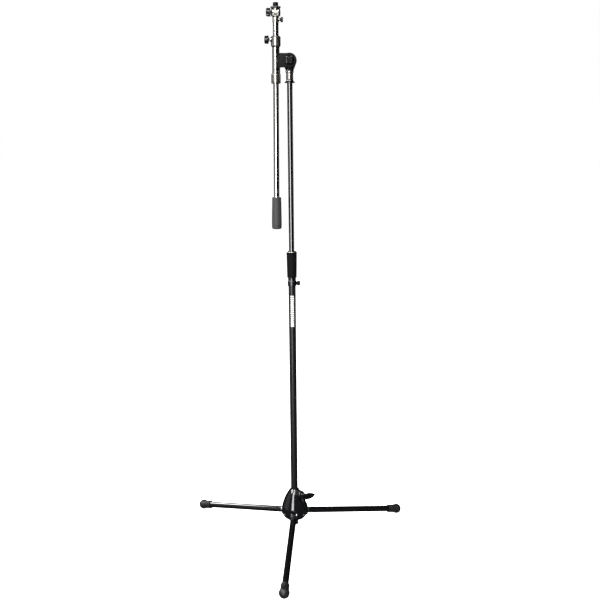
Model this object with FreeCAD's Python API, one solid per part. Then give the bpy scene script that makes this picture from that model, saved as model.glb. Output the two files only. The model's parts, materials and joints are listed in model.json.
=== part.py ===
import FreeCAD, Part
import math
import os

# Boom microphone stand: three folding legs on a cast hub, a two-section mast with a twist clutch,
# a friction swivel, and a sliding boom with a telescoping end and a tilting microphone stud.
# Millimetres.  The mast stands on the Z axis and the feet rest on Z = 0.  The boom hangs beside
# the mast on the -X side.  Each sub-part is one function that returns a solid, and the list of
# nodes at the end says which file each solid goes to.

Vector = FreeCAD.Vector
X, Y, Z = Vector(1, 0, 0), Vector(0, 1, 0), Vector(0, 0, 1)
ORIGIN = Vector(0, 0, 0)

# ---- Driving dimensions ------------------------------------------------------------------------
RUN = 0.06                      # radial clearance of a turning or sliding fit
SEAT = 0.02                     # radial clearance of a piece that is fixed in its seat
GAP = 0.4                       # end clearance between pieces that turn against each other

# Hub and legs
HUB_BOTTOM, HUB_TOP = 66.0, 163.0
HUB_WIDEST_R, HUB_WIDEST_Z = 41.0, 93.0
SOCKET_R = 42.6                 # the rims of the leg sockets lie on this radius
PIVOT_R, PIVOT_Z = 26.0, 84.0   # leg pivots: distance from the mast axis, and height
PIN_R = 3.0
SLOT_HALF = 10.2                # half the width of a leg slot
ARCH_RISE = 7.0                 # how far a slot's round top is centred above the pivot
CHEEK = 3.8                     # wall on each side of a leg slot
LEG_AZIMUTHS = {"front": -94.3, "right": 25.7, "left": 145.7}
LEG_TUBE_R, LEG_WALL = 9.5, 1.2
FOOT_RADIUS = 383.0             # distance of a foot's centre from the mast axis
FOOT_BALL_R = 15.5
FOOT_SOLE = 0.5                 # depth of the flat ground on the underside of a foot
TOE_ARM, TOE_R = 12.0, 2.5      # inner lever of a leg and the rounded toe at its end
COLLAR_CLEARANCE = 0.45         # clearance between a toe and each flange of the mast's end collar

# Clamp bolt on the hub
WING_Z, WING_AZIMUTH = 146.0, -45.0         # where the bolt's axis meets the mast's, and its bearing
WING_RISE = 8.0                 # slope of the bolt's axis, outwards and up
WING_TILT = -5.0                # slope of the wing above level
WING_REACH, WING_HALF = 62.0, 30.0          # distance of the wing from the mast axis, half its length
WING_WIDE, WING_THICK = 10.0, 6.0           # half the width and half the thickness of the wing
BOSS_END = 35.0                 # outer face of the clamp boss
BOLT_R = 4.0

# Mast
MAST_R, MAST_WALL = 11.0, 1.2
MAST_END_Z = 43.0               # lowest end of the mast, below the hub
MAST_TOP_Z = 884.0              # top of the lower tube, inside the clutch
UPPER_R, UPPER_WALL = 8.0, 1.1
UPPER_TOP_Z, UPPER_LENGTH = 1421.0, 700.0
CLUTCH_COLLAR_Z = 820.0
GRIP_BOTTOM_Z, GRIP_TOP_Z = 846.0, 926.0
STUD_R = 4.76                   # 3/8 inch stud on top of the mast

# Swivel
SWIVEL_Z = 1485.0               # height of the boom's tilt axis
DISC_R, DISC_THICK = 21.0, 12.4
DISC_FACE = 0.6                 # half the thickness of the friction disc
BOOM_OFFSET = 39.5              # distance from the tilt axis to the boom's axis
BOOM_LEAN = 0.5                 # degrees that the boom leans from upright at rest

# Boom, measured along its own axis from the level of the tilt axis
SLEEVE_R, SLEEVE_INNER_R = 10.6, 9.4
SLEEVE_LOW, SLEEVE_HIGH = -65.5, 68.0
BOOM_R, BOOM_WALL = 8.15, 1.2
BOOM_LOW, BOOM_HIGH = -482.0, 120.5
WEIGHT_TOP, WEIGHT_LOW = -396.0, -491.0
EXTENSION_R, EXTENSION_LOW, EXTENSION_HIGH = 6.0, -200.0, 123.7
LOCK_SCREW_Z, END_SCREW_Z = 58.0, 113.5
HEAD_PIVOT_Z = 133.5
HEAD_HALF = 13.5                # half the width of the head fork
MIC_STUD_R, MIC_STUD_TOP = 7.94, 161.2      # 5/8 inch stud for a microphone clip

LEG_SLOPE = math.degrees(math.atan2(PIVOT_Z - FOOT_BALL_R + FOOT_SOLE, FOOT_RADIUS - PIVOT_R))
LEG_REACH = math.hypot(PIVOT_Z - FOOT_BALL_R + FOOT_SOLE, FOOT_RADIUS - PIVOT_R)
FOLD = 90.0 - LEG_SLOPE         # turn that brings a leg straight down
TOE_Z = PIVOT_Z - TOE_ARM * math.sin(math.radians(FOLD / 2))


# ---- Shape helpers -----------------------------------------------------------------------------
def cylinder(radius, start, end, axis=Z, base=ORIGIN):
    """Cylinder between two distances along an axis through a base point."""
    return Part.makeCylinder(radius, end - start, base + axis * start, axis)


def ring(outer, inner, start, end, axis=Z, base=ORIGIN):
    """Tube between two distances along an axis through a base point."""
    bore = cylinder(inner, start - 1, end + 1, axis, base)
    return cylinder(outer, start, end, axis, base).cut(bore)


def turned(first, *steps):
    """Solid of revolution about Z.

    Points are (radius, height).  A step is a point that a straight edge runs to, or a pair of
    points that an arc runs through.  The last point is joined to the first.
    """
    start = here = Vector(first[0], 0, first[1])
    edges = []
    for step in steps:
        if isinstance(step[0], tuple):
            middle, end = [Vector(radius, 0, height) for radius, height in step]
            edges.append(Part.Arc(here, middle, end).toShape())
        else:
            end = Vector(step[0], 0, step[1])
            edges.append(Part.makeLine(here, end))
        here = end
    edges.append(Part.makeLine(here, start))
    return Part.Face(Part.Wire(edges)).revolve(ORIGIN, Z, 360)


def block(xs, ys, zs):
    """Box between the given limits."""
    size = [high - low for low, high in (xs, ys, zs)]
    return Part.makeBox(size[0], size[1], size[2], Vector(xs[0], ys[0], zs[0]))


def soft_disc(radius, start, end, edge):
    """Disc on Z with both rims rounded."""
    turn = edge * (1 - math.sqrt(0.5))
    return turned((0, start), (radius - edge, start),
                  ((radius - turn, start + turn), (radius, start + edge)), (radius, end - edge),
                  ((radius - turn, end - turn), (radius - edge, end)), (0, end))


def joined(*shapes):
    """One solid from several that meet."""
    return shapes[0].multiFuse(list(shapes[1:])).removeSplitter()


def moved(shape, turns=(), shift=ORIGIN):
    """Copy of a shape after turns about axes through the origin, and then a shift."""
    copy = shape.copy()
    for axis, angle in turns:
        copy.rotate(ORIGIN, axis, angle)
    copy.translate(shift)
    return copy


def lobed_knob(lobes, radius, lobe_r, start, end, boss_r, boss_start, bore_r, bore_depth):
    """Knob on Z with round lobes, a boss towards start and a blind bore in the boss."""
    lobe = moved(soft_disc(lobe_r, start, end, 1.8), shift=Vector(radius - lobe_r, 0, 0))
    ring_of_lobes = [moved(lobe, [(Z, 360 * index / lobes)]) for index in range(lobes)]
    core = soft_disc(radius * 0.66, start, end, 2.0)
    knob = joined(core, *ring_of_lobes, cylinder(boss_r, boss_start, start + 2))
    return knob.cut(cylinder(bore_r, boss_start - 1, boss_start + bore_depth))


# ---- Frames of the sub-assemblies --------------------------------------------------------------
def on_leg(shape, side):
    """Place a shape made with the leg along +X and its pivot on Y through the origin."""
    tipped = moved(shape, [(Y, LEG_SLOPE)], Vector(PIVOT_R, 0, PIVOT_Z))
    return moved(tipped, [(Z, LEG_AZIMUTHS[side])])


def on_wing_bolt(shape):
    """Place a shape made along +Z from the mast axis, on the axis of the hub's clamp bolt."""
    return moved(shape, [(Y, 90 - WING_RISE), (Z, WING_AZIMUTH)], Vector(0, 0, WING_Z))


def on_boom(shape):
    """Place a shape made about the tilt axis, with the boom upright."""
    return moved(shape, [(Y, BOOM_LEAN)], Vector(0, 0, SWIVEL_Z))


def along_boom(shape):
    """Place a shape made on Z, on the boom's own axis."""
    return on_boom(moved(shape, shift=Vector(-BOOM_OFFSET, 0, 0)))


# ---- Hub ---------------------------------------------------------------------------------------
BUSH_R, BUSH_TOP = 13.4, WING_Z + 8.5
INSERT_R, INSERT_START = 7.0, 23.0


def hub_skin(inset):
    """Dome of the hub, drawn in by an inset all round."""
    rows = [(29, HUB_BOTTOM), (38.6, 78), (HUB_WIDEST_R, HUB_WIDEST_Z), (37.3, 115), (25.6, 144),
            (12.8, HUB_TOP)]
    curve = Part.BSplineCurve()
    curve.interpolate([Vector(radius - inset, 0, height) for radius, height in rows])
    low, high = Vector(0, 0, HUB_BOTTOM), Vector(0, 0, HUB_TOP)
    edges = [Part.makeLine(low, curve.StartPoint), curve.toShape(),
             Part.makeLine(curve.EndPoint, high), Part.makeLine(high, low)]
    return Part.Face(Part.Wire(edges)).revolve(ORIGIN, Z, 360)


def leg_slot(half, low, reach):
    """Arched space for a leg: straight sides, a round top over the pivot, and open below."""
    spring = PIVOT_Z + ARCH_RISE
    sides = block((0, reach), (-half, half), (low, spring))
    return sides.fuse(cylinder(half, 0, reach, X, Vector(0, 0, spring)))


def barrel_room():
    """Square-topped space inside a leg slot for the knuckle's barrel to turn in."""
    return block((0, PIVOT_R + 10.5), (-SLOT_HALF, SLOT_HALF), (0, PIVOT_Z + 9.8))


def hub_housing():
    """Cast hub: dome, three arched leg sockets, the clamp boss and the pockets between them."""
    azimuths = LEG_AZIMUTHS.values()
    socket = leg_slot(SLOT_HALF + CHEEK, HUB_BOTTOM + 5, SOCKET_R + 1)
    socket = socket.common(cylinder(SOCKET_R, 0, HUB_TOP))
    body = hub_skin(0)
    pocket = hub_skin(3.6).cut(cylinder(20.5, 0, HUB_TOP))
    pocket = pocket.cut(block((-60, 60), (-60, 60), (106, HUB_TOP)))
    for azimuth in azimuths:
        body = body.fuse(moved(socket, [(Z, azimuth)]))
        pocket = pocket.cut(moved(leg_slot(SLOT_HALF + CHEEK, 0, 60), [(Z, azimuth)]))
    boss = on_wing_bolt(turned((0, 12), (14.4, 12), (12.0, BOSS_END - 3),
                               ((11.3, BOSS_END - 0.7), (9.8, BOSS_END)), (0, BOSS_END)))
    body = body.fuse(boss).cut(pocket)
    for azimuth in azimuths:
        room = leg_slot(SLOT_HALF, 0, 60).fuse(barrel_room())
        body = body.cut(moved(room, [(Z, azimuth)]))
        pin_base = moved(Part.Vertex(PIVOT_R, 0, PIVOT_Z), [(Z, azimuth)]).Point
        pin_axis = FreeCAD.Rotation(Z, azimuth).multVec(Y)
        body = body.cut(cylinder(PIN_R + SEAT, -60, 60, pin_axis, pin_base))
        for way in (1, -1):
            body = body.cut(cylinder(PIN_R + 1.6, 28, 45, pin_axis * way, pin_base))
    body = body.cut(cylinder(18, 0, 110))
    body = body.cut(cylinder(BUSH_R + SEAT, 0, BUSH_TOP + 0.5))
    body = body.cut(cylinder(MAST_R + 0.4, 0, HUB_TOP + 1))
    body = body.cut(on_wing_bolt(cylinder(INSERT_R + SEAT, INSERT_START, 60)))
    return body.cut(on_wing_bolt(cylinder(BOLT_R + 0.5, 0, 60))).removeSplitter()


def guide_bush():
    """Nylon bush that the mast slides in, with a hole for the clamp pad."""
    bush = turned((MAST_R + RUN, 107), (17, 107), (17, 110 - SEAT), (BUSH_R, 110 - SEAT),
                  (BUSH_R, BUSH_TOP), (MAST_R + RUN, BUSH_TOP))
    return bush.cut(on_wing_bolt(cylinder(BOLT_R + 0.1, 0, 20)))


def clamp_pad():
    """Pad between the clamp bolt and the mast."""
    pad = on_wing_bolt(cylinder(BOLT_R, MAST_R - 1, 15.2))
    return pad.cut(cylinder(MAST_R + RUN, 0, HUB_TOP))


def clamp_insert():
    """Threaded brass insert of the clamp boss."""
    return on_wing_bolt(ring(INSERT_R, BOLT_R + RUN, INSERT_START + 0.1, BOSS_END - GAP))


def leg_pivot_pins():
    """Three pins, one across each leg socket."""
    pin = turned((0, -28.6), (PIN_R - 0.6, -28.6), (PIN_R, -28), (PIN_R, 28), (PIN_R - 0.6, 28.6),
                 (0, 28.6))
    across = moved(pin, [(X, 90)], Vector(PIVOT_R, 0, PIVOT_Z))
    return Part.makeCompound([moved(across, [(Z, azimuth)]) for azimuth in LEG_AZIMUTHS.values()])


def wing_screw():
    """Steel screw of the hub's clamp."""
    end = WING_REACH - 2
    return on_wing_bolt(turned((0, 15.3), (BOLT_R - 0.8, 15.3), (BOLT_R, 16.1), (BOLT_R, end), (0, end)))


def wing_handle():
    """Leaf-shaped handle moulded on the clamp screw, flattened along the screw's axis."""
    leaf = turned((0, -WING_HALF), (1.6, -WING_HALF), ((WING_WIDE, 0), (1.6, WING_HALF)), (0, WING_HALF))
    flats = block((-40, 40), (-WING_THICK, WING_THICK), (-40, 40))
    leaf = moved(leaf.common(flats), [(X, 90), (Z, WING_TILT)], Vector(0, 0, WING_REACH))
    neck = turned((0, BOSS_END + 0.6), (8, BOSS_END + 0.6), (8, BOSS_END + 3), (6.4, BOSS_END + 8),
                  (6.4, WING_REACH), (0, WING_REACH))
    handle = joined(neck, leaf)
    return on_wing_bolt(handle.cut(cylinder(BOLT_R + SEAT, 30, WING_REACH - 2 + SEAT)))


# ---- Legs --------------------------------------------------------------------------------------
LEG_TUBE_START = 22.0
FOOT_SOCKET_END = LEG_REACH - 5


def leg_knuckle(side):
    """Cast inner end of a leg: pivot barrel, plug inside the tube, and the toe that lifts."""
    barrel = cylinder(8.5, -9.5, 9.5, Y)
    body = cylinder(LEG_TUBE_R, 4, LEG_TUBE_START, X)
    plug = cylinder(LEG_TUBE_R - LEG_WALL - SEAT, LEG_TUBE_START, LEG_TUBE_START + 24, X)
    lever = block((-TOE_ARM, 0), (-3, 3), (-2, 2))
    toe = cylinder(TOE_R, -3, 3, Y, Vector(-TOE_ARM, 0, 0))
    lever = moved(lever.fuse(toe), [(Y, -(FOLD / 2 + LEG_SLOPE))])
    knuckle = joined(barrel, body, plug, lever)
    return on_leg(knuckle.cut(cylinder(PIN_R + RUN, -20, 20, Y)), side)


def leg_tube(side):
    """Steel tube of a leg."""
    return on_leg(ring(LEG_TUBE_R, LEG_TUBE_R - LEG_WALL, LEG_TUBE_START, FOOT_SOCKET_END, X), side)


def leg_foot(side):
    """Rubber foot: a sleeve over the tube with a ball end, ground flat where it stands."""
    neck, low, high = 12.6, LEG_REACH - 34, LEG_REACH - 9
    waist = math.sqrt(FOOT_BALL_R ** 2 - (high - LEG_REACH) ** 2)
    cap = turned((0, low), (neck - 1, low), (neck, low + 1), (neck + 0.4, high - 6), (waist, high),
                 ((FOOT_BALL_R, LEG_REACH), (0, LEG_REACH + FOOT_BALL_R)))
    cap = cap.cut(cylinder(LEG_TUBE_R + SEAT, 0, FOOT_SOCKET_END + SEAT))
    foot = on_leg(moved(cap, [(Y, 90)]), side)
    return foot.cut(block((-500, 500), (-500, 500), (-50, 0)))


# ---- Mast --------------------------------------------------------------------------------------
def mast_end_collar():
    """Plug of the lower tube, with the two flanges that the legs' toes run between."""
    low, high = TOE_Z - TOE_R - COLLAR_CLEARANCE, TOE_Z + TOE_R + COLLAR_CLEARANCE
    core, flange, shank = 10.8, 16.3, MAST_R - MAST_WALL - SEAT
    return turned((0, MAST_END_Z), (10.4, MAST_END_Z), (11.9, MAST_END_Z + 1.5),
                  (11.9, MAST_END_Z + 5), (MAST_R, MAST_END_Z + 6), (MAST_R, low - 5),
                  (flange, low - 3), (flange, low), (core, low), (core, high), (flange, high),
                  (flange, high + 3), (core, high + 4), (core, PIVOT_Z), (shank, PIVOT_Z),
                  (shank, PIVOT_Z + 28), (0, PIVOT_Z + 28))


def lower_tube():
    """Lower tube of the mast."""
    return ring(MAST_R, MAST_R - MAST_WALL, PIVOT_Z, MAST_TOP_Z)


def clutch_body():
    """Threaded collar fixed round the top of the lower tube."""
    low, outer, neck, thread = CLUTCH_COLLAR_Z, 13.25, 12.0, 12.4
    body = turned((MAST_R + SEAT, low), (outer - 1, low), (outer, low + 1), (outer, low + 15),
                  (outer - 1, low + 16), (neck, low + 16.5), (neck, GRIP_BOTTOM_Z + 2),
                  (thread, GRIP_BOTTOM_Z + 2.4), (thread, MAST_TOP_Z), (MAST_R + SEAT, MAST_TOP_Z))
    return body.cut(cylinder(3 + SEAT, 0, 30, X, Vector(0, 0, low + 8)))


def clutch_collet():
    """Split nylon cone that the clutch squeezes onto the upper tube."""
    inner = UPPER_R + RUN
    collet = turned((inner, MAST_TOP_Z - 18), (MAST_R - MAST_WALL - SEAT, MAST_TOP_Z - 18),
                    (MAST_R - MAST_WALL - SEAT, MAST_TOP_Z + 0.2), (12.0, MAST_TOP_Z + 0.2),
                    (12.0, MAST_TOP_Z + 10), (9.6, MAST_TOP_Z + 30), (inner, MAST_TOP_Z + 30))
    return collet.cut(block((0, 20), (-0.8, 0.8), (MAST_TOP_Z - 10, GRIP_TOP_Z)))


def clutch_nut():
    """Threaded shell that turns round the clutch body, with a cone that closes the collet."""
    low, high = GRIP_BOTTOM_Z + 3, GRIP_TOP_Z - 3
    bore = 12.4 + RUN
    return turned((bore, low), (13.2, low), (13.2, high), (8.5, high), (8.5, high - 6), (9.9, high - 8),
                  (12.4, MAST_TOP_Z + 10), (bore, MAST_TOP_Z + 6))


def clutch_grip():
    """Rubber grip over the clutch nut, a little wider at the top."""
    low, high, inner = GRIP_BOTTOM_Z, GRIP_TOP_Z, 13.2 + SEAT
    return turned((12.6, low), (13.6, low), ((14.2, low + 0.4), (14.5, low + 1.4)),
                  (15.6, high - 6), ((15.3, high - 2.2), (13.6, high)), (9.2, high),
                  (9.2, high - 3 + SEAT), (inner, high - 3 + SEAT), (inner, low + 3 - SEAT),
                  (12.6, low + 3 - SEAT))


def collar_thumb_screw():
    """Small screw with a round head on the clutch collar."""
    screw = turned((0, 11.2), (3, 11.2), (3, 13.6), (3.6, 14), (3.6, 17), (6.2, 17.2), (6.8, 18),
                   (6.8, 23.6), ((6.4, 24.4), (5.4, 24.8)), (0, 24.8))
    return moved(screw, [(Y, 90)], Vector(0, 0, CLUTCH_COLLAR_Z + 8))


def upper_tube():
    """Upper tube of the mast."""
    return ring(UPPER_R, UPPER_R - UPPER_WALL, UPPER_TOP_Z - UPPER_LENGTH, UPPER_TOP_Z)


def slide_bush():
    """Nylon bush that guides the foot of the upper tube inside the lower one."""
    low, shell = UPPER_TOP_Z - UPPER_LENGTH, MAST_R - MAST_WALL - RUN
    return turned((6.5, low - 3), (shell - 0.8, low - 3), (shell, low - 2), (shell, low + 29),
                  (shell - 0.8, low + 30), (UPPER_R + SEAT, low + 30), (UPPER_R + SEAT, low - SEAT),
                  (6.5, low - SEAT))


def mast_top_plug():
    """Plug in the top of the upper tube with the stud that carries the swivel."""
    shank = UPPER_R - UPPER_WALL - SEAT
    return turned((0, UPPER_TOP_Z - 24), (shank, UPPER_TOP_Z - 24), (shank, UPPER_TOP_Z),
                  (STUD_R, UPPER_TOP_Z), (STUD_R, UPPER_TOP_Z + 28), (STUD_R - 1, UPPER_TOP_Z + 29),
                  (0, UPPER_TOP_Z + 29))


# ---- Swivel ------------------------------------------------------------------------------------
FOOT_DROP = 29.5                # how far the casting on the stem reaches below the tilt axis
STEM_LOW, STEM_HIGH = UPPER_TOP_Z + 11, SWIVEL_Z - FOOT_DROP


def mast_lock_flange():
    """Trumpet-shaped nut that locks the swivel on the mast's stud."""
    low = UPPER_TOP_Z + GAP
    return turned((STUD_R + RUN, low), (14.4, low), (15, low + 0.6), (15, low + 2.4),
                  ((12.0, low + 4.6), (10.2, low + 9)), (10.2, STEM_LOW - GAP),
                  (STUD_R + RUN, STEM_LOW - GAP))


def swivel_stem():
    """Polished socket under the swivel, threaded onto the mast's stud, with a wider rim at its top."""
    return turned((STUD_R + RUN, STEM_LOW), (9.8, STEM_LOW), (10.4, STEM_LOW + 0.6),
                  (10.4, STEM_HIGH - 5.5), (12, STEM_HIGH - 4.6), (12, STEM_HIGH - 0.8),
                  (11.2, STEM_HIGH), (6, STEM_HIGH), (6, STEM_HIGH + 5), (0, STEM_HIGH + 5),
                  (0, STEM_HIGH - 5), (STUD_R + RUN, STEM_HIGH - 5))


def swivel_plate(near, far):
    """Round plate of the swivel between two distances along Y, made about the tilt axis."""
    plate = soft_disc(DISC_R, near, far, 1.2)
    return moved(plate, [(X, -90)])


def swivel_base():
    """Casting on top of the stem: a round foot that rises into the rear plate of the swivel."""
    plate = swivel_plate(DISC_FACE + SEAT, DISC_FACE + DISC_THICK)
    outline = [Vector(-11.75, 0, -27), Vector(11.75, 0, -27), Vector(19.6, 0, -7.4),
               Vector(-19.6, 0, -7.4), Vector(-11.75, 0, -27)]
    neck = Part.Face(Part.makePolygon(outline)).extrude(Vector(0, DISC_THICK - 1.2, 0))
    neck.translate(Vector(0, DISC_FACE + SEAT, 0))
    foot = turned((0, -FOOT_DROP), (11.75, -FOOT_DROP), (11.75, -22.8), (10.6, -21.9), (0, -21.9))
    base = joined(plate, neck, foot)
    base = base.cut(cylinder(BOLT_R + SEAT, -40, 40, Y))
    base = base.cut(cylinder(6 + SEAT, -FOOT_DROP - 0.1, 5 - FOOT_DROP + SEAT))
    base = base.cut(cylinder(8 + SEAT, DISC_FACE + DISC_THICK - 3, 30, Y))
    return moved(base, shift=Vector(0, 0, SWIVEL_Z))


def friction_disc():
    """Friction washer between the two plates of the swivel."""
    disc = ring(18.5, BOLT_R + RUN, -DISC_FACE + SEAT, DISC_FACE, Y)
    return moved(disc, shift=Vector(0, 0, SWIVEL_Z))


def tension_bolt():
    """Bolt on the tilt axis, with its head sunk in the rear plate."""
    back = DISC_FACE + DISC_THICK
    bolt = joined(cylinder(BOLT_R, -back - 9, back, Y), cylinder(8, back - 3 + SEAT, back + 2.5, Y))
    return moved(bolt, shift=Vector(0, 0, SWIVEL_Z))


def tension_knob():
    """Four-lobed knob that clamps the swivel."""
    front = DISC_FACE + DISC_THICK + GAP
    knob = lobed_knob(4, 14, 5.4, front + 3.4, front + 15, 7.5, front, 6 + SEAT, 9)
    return moved(knob, [(X, 90), (Y, 45)], Vector(0, 0, SWIVEL_Z))


def tension_knob_insert():
    """Threaded brass insert of the swivel's knob."""
    front = DISC_FACE + DISC_THICK + GAP
    insert = ring(6, BOLT_R + RUN, front + 0.1, front + 9)
    return moved(insert, [(X, 90)], Vector(0, 0, SWIVEL_Z))


def boom_yoke():
    """Casting that carries the boom: front plate of the swivel, arm, and a rib on the sleeve."""
    plate = swivel_plate(-DISC_FACE - DISC_THICK, -DISC_FACE)
    half = 20.0
    arm = block((-29.5, -2), (-DISC_FACE - DISC_THICK + 1.2, -DISC_FACE), (-half, half))
    saddle = block((-33, -25.5), (-8.5, 8.5), (-half, half))
    gusset = block((-31, -27.2), (-4, 4), (SLEEVE_LOW + 28.2, -half))
    yoke = joined(plate, arm, saddle, gusset)
    yoke = yoke.cut(cylinder(SLEEVE_R + SEAT, -60, 60, Z, Vector(-BOOM_OFFSET, 0, 0)))
    return on_boom(yoke.cut(cylinder(BOLT_R + RUN, -40, 40, Y)))


# ---- Boom --------------------------------------------------------------------------------------
def boom_sleeve():
    """Sleeve that the boom slides in."""
    sleeve = ring(SLEEVE_R, SLEEVE_INNER_R, SLEEVE_LOW + 1, SLEEVE_HIGH - 1)
    screw = cylinder(4, -20, 0, X, Vector(0, 0, LOCK_SCREW_Z))
    return along_boom(sleeve.cut(screw))


def sleeve_liners():
    """Two nylon liners, one at each end of the sleeve."""
    outer, inner, length = SLEEVE_INNER_R - SEAT, BOOM_R + RUN, 30
    low = ring(outer, inner, SLEEVE_LOW + 1, SLEEVE_LOW + 1 + length)
    high = ring(outer, inner, SLEEVE_HIGH - 1 - length, SLEEVE_HIGH - 1)
    screw = cylinder(4, -20, 0, X, Vector(0, 0, LOCK_SCREW_Z))
    return along_boom(Part.makeCompound([low, high.cut(screw)]))


def sleeve_lock_collar():
    """Collar at the top of the sleeve, with the boss of the boom's lock screw."""
    low, high, outer, inner = SLEEVE_HIGH - 31, SLEEVE_HIGH, 14.0, SLEEVE_R + SEAT
    collar = turned((inner, low), (outer - 3, low), (outer, low + 4), (outer, high - 2.5),
                    (outer - 2.5, high), (BOOM_R + 0.5, high), (BOOM_R + 0.5, high - 1 + SEAT),
                    (inner, high - 1 + SEAT))
    boss = turned((0, 11), (6.2, 11), (6.2, 15.8), (5.4, 16.6), (0, 16.6))
    boss = moved(boss, [(Y, -90)], Vector(0, 0, LOCK_SCREW_Z))
    core = cylinder(inner, -200, high - 1 + SEAT)
    collar = collar.fuse(boss.cut(core)).removeSplitter()
    return along_boom(collar.cut(cylinder(4 + SEAT, -30, 0, X, Vector(0, 0, LOCK_SCREW_Z))))


def sleeve_lock_insert():
    """Threaded insert in the lock collar's boss."""
    insert = ring(4, 2.5 + RUN, 10.9, 16.2)
    return along_boom(moved(insert, [(Y, -90)], Vector(0, 0, LOCK_SCREW_Z)))


def boom_clamp_pad():
    """Pad between the lock screw and the boom."""
    pad = cylinder(3.8, 7, 10.6).cut(cylinder(BOOM_R + RUN, -20, 20, X))
    return along_boom(moved(pad, [(Y, -90)], Vector(0, 0, LOCK_SCREW_Z)))


def sleeve_end_collar():
    """Plain collar at the bottom of the sleeve."""
    low, high, outer, inner = SLEEVE_LOW, SLEEVE_LOW + 28, 13.75, SLEEVE_R + SEAT
    collar = turned((BOOM_R + 0.5, low), (outer - 1.4, low), (outer, low + 1.4), (outer, high - 1.4),
                    (outer - 1.4, high), (inner, high), (inner, low + 1 - SEAT),
                    (BOOM_R + 0.5, low + 1 - SEAT))
    return along_boom(collar)


def boom_lock_screw():
    """Steel screw that locks the boom in its sleeve."""
    screw = turned((0, 10.7), (2.0, 10.7), (2.5, 11.2), (2.5, 27), (0, 27))
    return along_boom(moved(screw, [(Y, -90)], Vector(0, 0, LOCK_SCREW_Z)))


def boom_lock_knob():
    """Three-lobed knob of the boom's lock screw."""
    knob = lobed_knob(3, 12.2, 5.0, 20.6, 33, 5.0, 18.4, 2.5 + SEAT, 8.6 + SEAT)
    return along_boom(moved(knob, [(Y, -90), (X, -30)], Vector(0, 0, LOCK_SCREW_Z)))


def boom_tube():
    """Boom tube."""
    tube = ring(BOOM_R, BOOM_R - BOOM_WALL, BOOM_LOW, BOOM_HIGH)
    return along_boom(tube.cut(cylinder(2.2, 0, 20, X, Vector(0, 0, END_SCREW_Z))))


def boom_weight():
    """Steel slug in the lower end of the boom tube."""
    return along_boom(cylinder(BOOM_R - BOOM_WALL - SEAT, BOOM_LOW, WEIGHT_TOP + 10))


def boom_grip():
    """Rubber counterweight sleeve with a rounded end and a step above it."""
    low, high, step = WEIGHT_LOW, WEIGHT_TOP, WEIGHT_LOW + 12
    grip = turned((0, low), (9, low), ((13.2, low + 1.8), (14.7, low + 5)), (14.7, step - 1.2),
                  (14.0, step - 0.6), (14.0, step), (15.0, step + 0.6), (13.5, high - 1.6),
                  ((13.0, high - 0.5), (12, high)), (0, high))
    return along_boom(grip.cut(cylinder(BOOM_R + SEAT, BOOM_LOW - SEAT, high + 1)))


def boom_end_collar():
    """Collar at the upper end of the boom, with the boss of its thumb screw."""
    low, high, outer = 105.6, 121.2, 9.4
    collar = turned((BOOM_R + SEAT, low), (outer - 0.8, low), (outer, low + 0.8), (outer, high - 0.8),
                    (outer - 0.8, high), (EXTENSION_R + 0.4, high), (EXTENSION_R + 0.4, BOOM_HIGH + SEAT),
                    (BOOM_R + SEAT, BOOM_HIGH + SEAT))
    boss = cylinder(4.2, 0, 11, X, Vector(0, 0, END_SCREW_Z))
    collar = joined(collar, boss.cut(cylinder(BOOM_R + SEAT, 0, BOOM_HIGH)))
    return along_boom(collar.cut(cylinder(2 + RUN, 0, 20, X, Vector(0, 0, END_SCREW_Z))))


def boom_end_liner():
    """Nylon liner in the mouth of the boom tube that the extension slides in."""
    liner = ring(BOOM_R - BOOM_WALL - SEAT, EXTENSION_R + RUN, BOOM_HIGH - 32, BOOM_HIGH)
    return along_boom(liner.cut(cylinder(2.2, 0, 20, X, Vector(0, 0, END_SCREW_Z))))


def end_lock_screw():
    """Thumb screw's steel stud, which bears on the extension."""
    stud = turned((0, EXTENSION_R + 0.1), (1.4, EXTENSION_R + 0.1), (2, EXTENSION_R + 0.7), (2, 17),
                  (0, 17))
    return along_boom(moved(stud, [(Y, 90)], Vector(0, 0, END_SCREW_Z)))


def end_lock_knob():
    """Round knob of the extension's thumb screw, with a waist."""
    knob = turned((0, 11.3), (3.4, 11.3), (3.8, 13), (6.4, 14.4), (7.4, 15.6), (7.4, 19.6),
                  ((7.0, 20.7), (5.8, 21.2)), (0, 21.2))
    knob = knob.cut(cylinder(2 + SEAT, 0, 17 + SEAT))
    return along_boom(moved(knob, [(Y, 90)], Vector(0, 0, END_SCREW_Z)))


def extension_tube():
    """Thinner tube that telescopes out of the boom."""
    return along_boom(ring(EXTENSION_R, EXTENSION_R - 1, EXTENSION_LOW, EXTENSION_HIGH))


def extension_bush():
    """Bush that guides the hidden end of the extension."""
    shell = BOOM_R - BOOM_WALL - RUN
    bush = turned((0, EXTENSION_LOW - 3), (shell, EXTENSION_LOW - 3), (shell, EXTENSION_LOW - SEAT),
                  (EXTENSION_R - 1 - SEAT, EXTENSION_LOW - SEAT),
                  (EXTENSION_R - 1 - SEAT, EXTENSION_LOW + 14), (0, EXTENSION_LOW + 14))
    return along_boom(bush)


# ---- Head --------------------------------------------------------------------------------------
TONGUE_HALF, TONGUE_R = 4.8, 8.5
FORK_R = 11.0                   # radius of the fork's rounded cheeks about the head's pivot
NUT_LOW = HEAD_PIVOT_Z + FORK_R + GAP
NUT_TOP = NUT_LOW + 4.6
NUT_THREAD_R = 7.6              # thread of the round nut, smaller than the stud above it
STUD_SEAT = NUT_LOW - 0.1


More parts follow.
